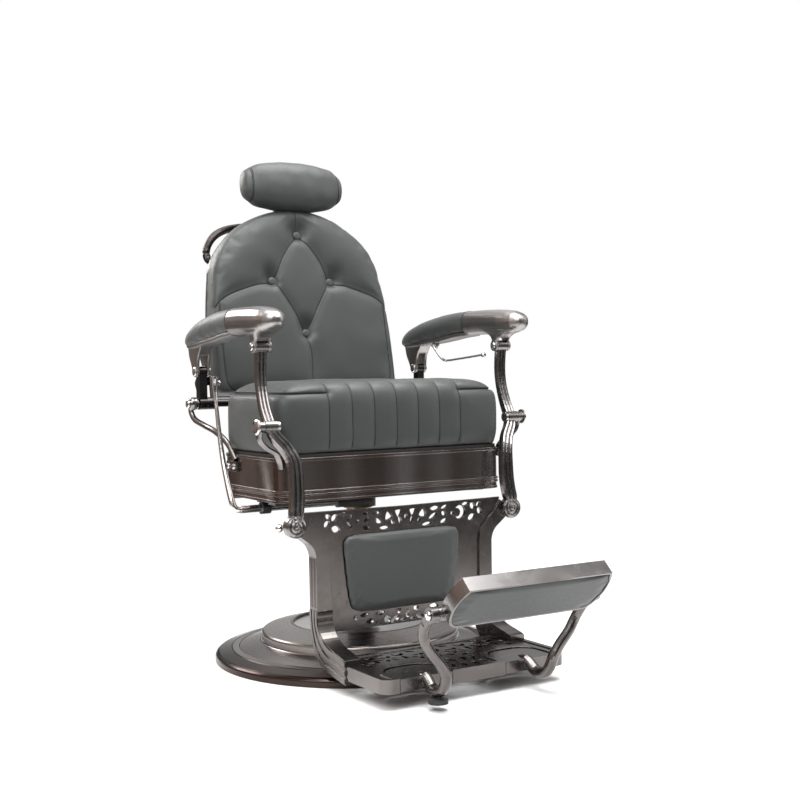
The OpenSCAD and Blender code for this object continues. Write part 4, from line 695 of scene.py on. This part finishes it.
# back cushion
backLook = dict(voxel=0.005, shrink=0.003, relax=30, pressure=4.0, cap=0.022, wide=0.0095,
                buttons=[(0, 0.352), (-0.078, 0.237), (0.078, 0.237), (0, 0.110)],
                dips=[(-0.011, 0.367), (0.011, 0.367), (-0.088, 0.252), (0.089, 0.252), (0, 0.127)],
                rear=(0.034, 0.046), front=(0.005, 0.030), hold=0.75, holdWidth=0.010,
                sink=0.0055, sinkWidth=0.016, fold=0.010, foldSize=(0.020, 0.024),
                pleat=0.00025, pleats=5, pleatReach=0.018, pleatWidth=0.010,
                # painted shade in the dips, and a painted shadow ring round each button with its radius and
                # width
                dipShade=0.7, ring=0.0118, shadowRingWidth=0.0032, sew=(0.0016, 0.0018, 0.0022, 0.012),
                cord=0.0007, ripple=(0.06, 0.0012, 7.0), fill=0.7)

halfSeams = [  # across and up, from the diamond to the sides
    [(0.006, 0.346), (0.028, 0.322), (0.050, 0.290), (0.064, 0.262), (0.073, 0.243)],
    [(0.070, 0.229), (0.051, 0.200), (0.032, 0.169), (0.016, 0.139), (0.005, 0.120)],
    [(0.085, 0.234), (0.126, 0.225), (0.161, 0.214), (0.193, 0.202), (0.219, 0.186), (0.232, 0.172)],
    [(0.222, 0.180), (0.2225, 0.120), (0.223, 0.060), (0.222, 0.010), (0.214, -0.018), (0.190, -0.028)]]
backLines = [[(side * x, h) for x, h in line] for side in (-1, 1) for line in halfSeams]
backLines.append([(0, 0.102), (0.005, 0.075), (0.007, 0.050), (0.005, 0.010), (0.003, -0.028)])
backLines.append([(-0.001, 0.358), (-0.002, 0.385), (-0.001, 0.408)])
inward = (backFrame.to_3x3() @ Vector((0, 1, 0))).normalized()
upward = (backFrame.to_3x3() @ Vector((0, 0, 1))).normalized()


def onBack(x, depth, height):
    return backFrame @ Vector((x, depth, height))


def backSeams(surface):
    seams = []
    for corners in backLines:
        line = spline([(x, 0, h) for x, h in corners], 10)
        seams.append(castAll(surface, [onBack(p.x, -0.15, p.z) for p in line], [inward] * len(line)))
    return seams


def nearButtons(local, width):
    near = np.zeros(len(local))
    for x, h in backLook["buttons"]:
        away = np.hypot(local[:, 0] - x, local[:, 2] - h)
        near = np.maximum(near, np.exp(-(away / width) ** 2))
    return near


def backHeld(lines):
    def held(places, firm):
        local = shift(places, backInverse)
        rear = ramp(local[:, 1], *backLook["rear"])
        if firm:
            return rear
        return np.maximum.reduce([rear, threadHold(lines, places, backLook["hold"]),
                                  nearButtons(local, backLook["holdWidth"])])
    return held


back = startSoft("backCushion", "back_cushion", backLook)
swell(back, backLook, backHeld(backSeams(surfaceOf(back))))
fitBox(back, "back_cushion", backFrame, (0, 2))
local = shift(points(back.data), backInverse)
local[:, 0] *= 1 + backLook["wide"] / local[:, 0].max()  # the stuffing stands out past the board
setPoints(back.data, shift(local, backFrame))
backSurface = surfaceOf(back)
refine(back, backSeams(backSurface))
local = shift(points(back.data), backInverse)
front = 1 - ramp(local[:, 1], *backLook["front"])
pit = backLook["sink"] * nearButtons(local, backLook["sinkWidth"]) * front
fan = np.zeros(len(local))
for x, h in backLook["buttons"]:
    across, up = local[:, 0] - x, local[:, 2] - h
    away = np.hypot(across, up)
    angle = np.arctan2(up, across)
    near = np.exp(-((away - backLook["pleatReach"]) / backLook["pleatWidth"]) ** 2)
    fan += backLook["pleat"] * np.cos(backLook["pleats"] * angle + 65 * x) * near
foldWide, foldHigh = backLook["foldSize"]
dips = np.max([np.exp(-((local[:, 0] - x) / foldWide) ** 2 - ((local[:, 2] - h) / foldHigh) ** 2)
               for x, h in backLook["dips"]], axis=0)
fan += backLook["fold"] * dips
local[:, 1] += pit + fan * front
setPoints(back.data, shift(local, backFrame))
sew(back, backSeams(surfaceOf(back)), *backLook["sew"])
# painted shade in the dips over the buttons and painted shadow rings round them
shadeRound(back, local, backLook, dips)
ripple(back, *backLook["ripple"])
finishSoft(back, "back_cushion", "back")
backSurface = surfaceOf(back)
seamShadowCords("backSeams", backSeams(backSurface), backLook["cord"], "back")

# covered buttons, each a shallow dome with a turned edge
buttonLook = dict(radius=0.0104, height=0.0046, under=0.72, proud=0.0014, gather=0.012, gathers=10,
                  sides=40, fill=0.9,
                  profile=[(0.42, 0.98), (0.70, 0.90), (0.87, 0.70), (0.96, 0.36), (1.0, 0.02),
                           (0.96, -0.28), (0.80, -0.55), (0.45, -0.7)])
sides, height, rows = buttonLook["sides"], buttonLook["height"], len(buttonLook["profile"])
buttonPoints, buttonFaces = [], []
for x, h in backLook["buttons"]:
    centre = backSurface.ray_cast(onBack(x, -0.15, h), inward)[0] - inward * buttonLook["proud"]
    first = len(buttonPoints)
    for reach, rise in buttonLook["profile"]:
        for k in range(sides):
            turn = 2 * math.pi * k / sides
            gather = 1 + buttonLook["gather"] * math.cos(buttonLook["gathers"] * turn)
            buttonPoints.append(centre - inward * height * rise
                                + buttonLook["radius"] * reach * gather
                                * (math.cos(turn) * Vector((1, 0, 0)) + math.sin(turn) * upward))
    for row in range(rows - 1):
        for k in range(sides):
            a, b = first + row * sides + k, first + row * sides + (k + 1) % sides
            buttonFaces.append((a, a + sides, b + sides, b))
    top, low = len(buttonPoints), len(buttonPoints) + 1
    buttonPoints += [centre - inward * height, centre + inward * height * buttonLook["under"]]
    last = first + (rows - 1) * sides
    for k in range(sides):
        buttonFaces.append((top, first + k, first + (k + 1) % sides))
        buttonFaces.append((low, last + (k + 1) % sides, last + k))
buttonMesh = bpy.data.meshes.new("backButtons")
buttonMesh.from_pydata([tuple(p) for p in buttonPoints], [], buttonFaces)
buttons = addPiece("backButtons", buttonMesh, leatherFinish)
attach(buttons, "back")
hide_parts("back_buttons")
print("back cushion tufted,", len(back.data.vertices), "points")


# headrest
headLook = dict(voxel=0.004, shrink=0.003, relax=8, pressure=4.0, cap=0.008, height=0.4805, middle=0.0157,
                rear=(0.040, 0.054), hold=0.85, seam=0.116, drop=0.0065,
                sew=(0.0014, 0.0020, 0.0020, 0.011), cord=0.0008, ripple=(0.035, 0.0016, 11.0), fill=0.8)
headMiddle = onBack(0, headLook["middle"], headLook["height"] - headLook["drop"] / 2)


def headSeams(surface):
    seams = []
    turned = backFrame.to_3x3()
    for side in (-1, 1):
        ring = [turned @ Vector((0, math.cos(a), math.sin(a)))
                for a in (2 * math.pi * k / 72 for k in range(73))]
        start = headMiddle + Vector((side * headLook["seam"], 0, 0))
        seams.append(castAll(surface, [start] * len(ring), ring))
    return seams


def headHeld(lines):
    def held(places, firm):
        local = shift(places, backInverse)
        rear = ramp(local[:, 1], *headLook["rear"])
        if firm:
            return rear
        return np.maximum(rear, threadHold(lines, places, headLook["hold"]))
    return held


head = startSoft("headrestCushion", "headrest_cushion", headLook)
swell(head, headLook, headHeld(headSeams(surfaceOf(head))))
fitBox(head, "headrest_cushion", backFrame, (0, 1, 2))
setPoints(head.data, points(head.data) - np.array(onBack(0, 0, headLook["drop"]) - onBack(0, 0, 0)))
refine(head, headSeams(surfaceOf(head)))
headLines = headSeams(surfaceOf(head))
sew(head, headLines, *headLook["sew"])
ripple(head, *headLook["ripple"])
finishSoft(head, "headrest_cushion", "headpad")
seamShadowCords("headrestSeamShadows", headSeams(surfaceOf(head)), headLook["cord"], "headpad")
print("headrest sewn")


# arm pads
armLook = dict(voxel=0.004, shrink=0.002, relax=10, pressure=3.0, cap=0.004, centre=(0.302, 0.745),
               cut=-0.033, cord=0.0009, ripple=(0.04, 0.0008), fill=0.85)


def armHeld(places, firm):
    return 1 - ramp(places[:, 1], armLook["cut"], armLook["cut"] + 0.011)


for side, node, body in ((-1, "arm_pad_l", "arm_l"), (1, "arm_pad_r", "arm_r")):
    name = "armPad" + ("Right" if side < 0 else "Left")
    pad = startSoft(name, node, armLook)
    swell(pad, armLook, armHeld)
    fitBox(pad, node, Matrix(), (0, 1, 2))
    refine(pad, [])
    ripple(pad, *armLook["ripple"], 5.0 + side)
    finishSoft(pad, node, body)
    x, z = armLook["centre"]
    ring = [(math.cos(a), 0, math.sin(a)) for a in (2 * math.pi * k / 60 for k in range(61))]
    weltShadowLine = castAll(surfaceOf(pad), [(side * x, armLook["cut"] + 0.0035, z)] * len(ring), ring)
    seamShadowCords(name + "WeltShadow", [weltShadowLine], armLook["cord"], body)
print("arm pads stuffed")


# leg pad and foot cushion
legLook = dict(voxel=0.0035, shrink=0.001, relax=5, pressure=3.0, cap=0.002, rear=(-0.2095, -0.2065),
               ripple=(0.06, 0.0005, 2.0), fill=0.6)


def legHeld(places, firm):
    return ramp(places[:, 1], *legLook["rear"])


legPad = startSoft("legPad", "leg_pad", legLook)
swell(legPad, legLook, legHeld)
refine(legPad, [])
ripple(legPad, *legLook["ripple"])
finishSoft(legPad, "leg_pad", "leg")

footLook = dict(voxel=0.0035, shrink=0.001, relax=5, pressure=3.0, cap=0.002, y=-0.588, z=0.199, tilt=43,
                rear=(-0.0180, -0.0150), wider=1.02,
                heights=((-0.0057, 0.04, 0.0927), (-0.0140, 0.04, 0.0955)),
                ripple=(0.06, 0.0005, 9.0), fill=0.6)
footFrame = (Matrix.Translation((0, footLook["y"], footLook["z"]))
             @ Matrix.Rotation(math.radians(footLook["tilt"]), 4, "X"))


def footHeld(places, firm):
    return ramp(shift(places, footFrame.inverted())[:, 1], *footLook["rear"])


footPad = startSoft("footCushion", "foot_pad_cushion", footLook)
swell(footPad, footLook, footHeld)
local = shift(points(footPad.data), footFrame.inverted())  # the leather is drawn over the tray's front edge
local[:, 0] *= footLook["wider"]
local[:, 2] = np.interp(local[:, 2], *footLook["heights"])
setPoints(footPad.data, shift(local, footFrame))
refine(footPad, [])
ripple(footPad, *footLook["ripple"])
finishSoft(footPad, "foot_pad_cushion", "footpad")
print("leg and foot padding done")


# studio
studio = dict(
    floor=(0.86, 0.86, 0.86), radius=7.0, clear=0.95, fade=2.1,
    # stretch, scale, and the darkest and brightest value of the cards that the metal reflects
    broadCards=((1, 1, 0.45), 2.3, 0.06, 0.85), fineCards=((1, 1, 0.12), 7.5, 0.0, 0.22),
    front=(0.42, -0.9, 0), rearRight=(-0.8, 0.6, 0), plain=(1.0, 0.995, 0.99), warm=(0.68, 0.50, 0.42),
    lamps=[  # name, place, aim, size, power
        ("key", (-2.5, -1.7, 2.7), (0, 0, 0.5), (2.6, 1.8), 72),
        ("fill", (2.6, -1.6, 1.6), (0, 0, 0.5), (1.2, 2.0), 14),
        ("rear", (-1.2, 2.4, 2.0), (0, 0, 0.6), (1.6, 1.0), 45),
        ("top", (0.1, -0.5, 3.2), (0, 0, 0.4), (3.0, 2.6), 185)])

floorMesh = bpy.data.meshes.new("floor")
floorWork = bmesh.new()
bmesh.ops.create_circle(floorWork, cap_ends=True, radius=studio["radius"], segments=96)
floorWork.to_mesh(floorMesh)
floorWork.free()
floor = bpy.data.objects.new("floor", floorMesh)
scene.collection.objects.link(floor)
floorFinish = Finish("paleFloor", {"Roughness": 0.55, "Specular IOR Level": 0.25})
floorTone = floorFinish.noise(3, 2)
# past its clear middle the floor fades into the white round it
fromMiddle = floorFinish.length(floorFinish.node("ShaderNodeTexCoord", take="Object"))
fading = floorFinish.node("ShaderNodeMapRange", {"interpolation_type": "SMOOTHSTEP"}, {
    "Value": fromMiddle, "From Min": studio["clear"], "From Max": studio["fade"],
    "To Min": 1.0, "To Max": 0.0})
pale = solid(studio["floor"])
floorFinish.feed(Base_Color=floorFinish.blend(floorTone, pale, solid(studio["floor"], 0.985)), Alpha=fading)
floorMesh.materials.append(floorFinish.material)

sky = Finish("studio", owner=bpy.data.worlds.new("studio"))
scene.world = sky.material
around = sky.node("ShaderNodeTexCoord", take="Generated")


def reflectedCards(stretch, scale, low, high):
    spot = sky.node("ShaderNodeMapping", values={"Vector": around, "Scale": stretch})
    cloud = sky.node("ShaderNodeTexNoise", values={
        "Vector": spot, "Scale": scale, "Detail": 1, "Roughness": 0.4})
    return sky.spread(cloud, low, high, 0.42, 0.60)


# brighter overhead, darker toward the front, warmer from the rear at the sitter's right
rise = sky.dot(around, (0, 0, 1))
facing = sky.dot(around, studio["front"])
sideways = sky.dot(around, studio["rearRight"])
glow = ((reflectedCards(*studio["broadCards"]) + reflectedCards(*studio["fineCards"]))
        * sky.spread(rise, 0.60, 1.75, 0.05, 0.65) * sky.spread(facing, 1.1, 0.36, -0.3, 0.85))
tint = sky.blend(sky.spread(sideways, 0, 1, 0.45, 0.95), solid(studio["plain"]), solid(studio["warm"]))
eye = sky.node("ShaderNodeLightPath", take="Is Camera Ray")
seen = sky.blend(eye, sky.blend(glow, (0, 0, 0, 1), tint), (1, 1, 1, 1))
sky.feed(Color=seen)
sky.shader.inputs["Strength"].default_value = 1.0

for name, place, aim, size, power in studio["lamps"]:
    lamp = bpy.data.lights.new(name, "AREA")
    lamp.shape = "RECTANGLE"
    lamp.size, lamp.size_y = size
    lamp.energy = power
    box = bpy.data.objects.new(name, lamp)
    scene.collection.objects.link(box)
    box.location = place
    box.rotation_euler = (Vector(aim) - Vector(place)).to_track_quat("-Z", "Y").to_euler()
scene.view_settings.view_transform = "Standard"
print("studio lit")
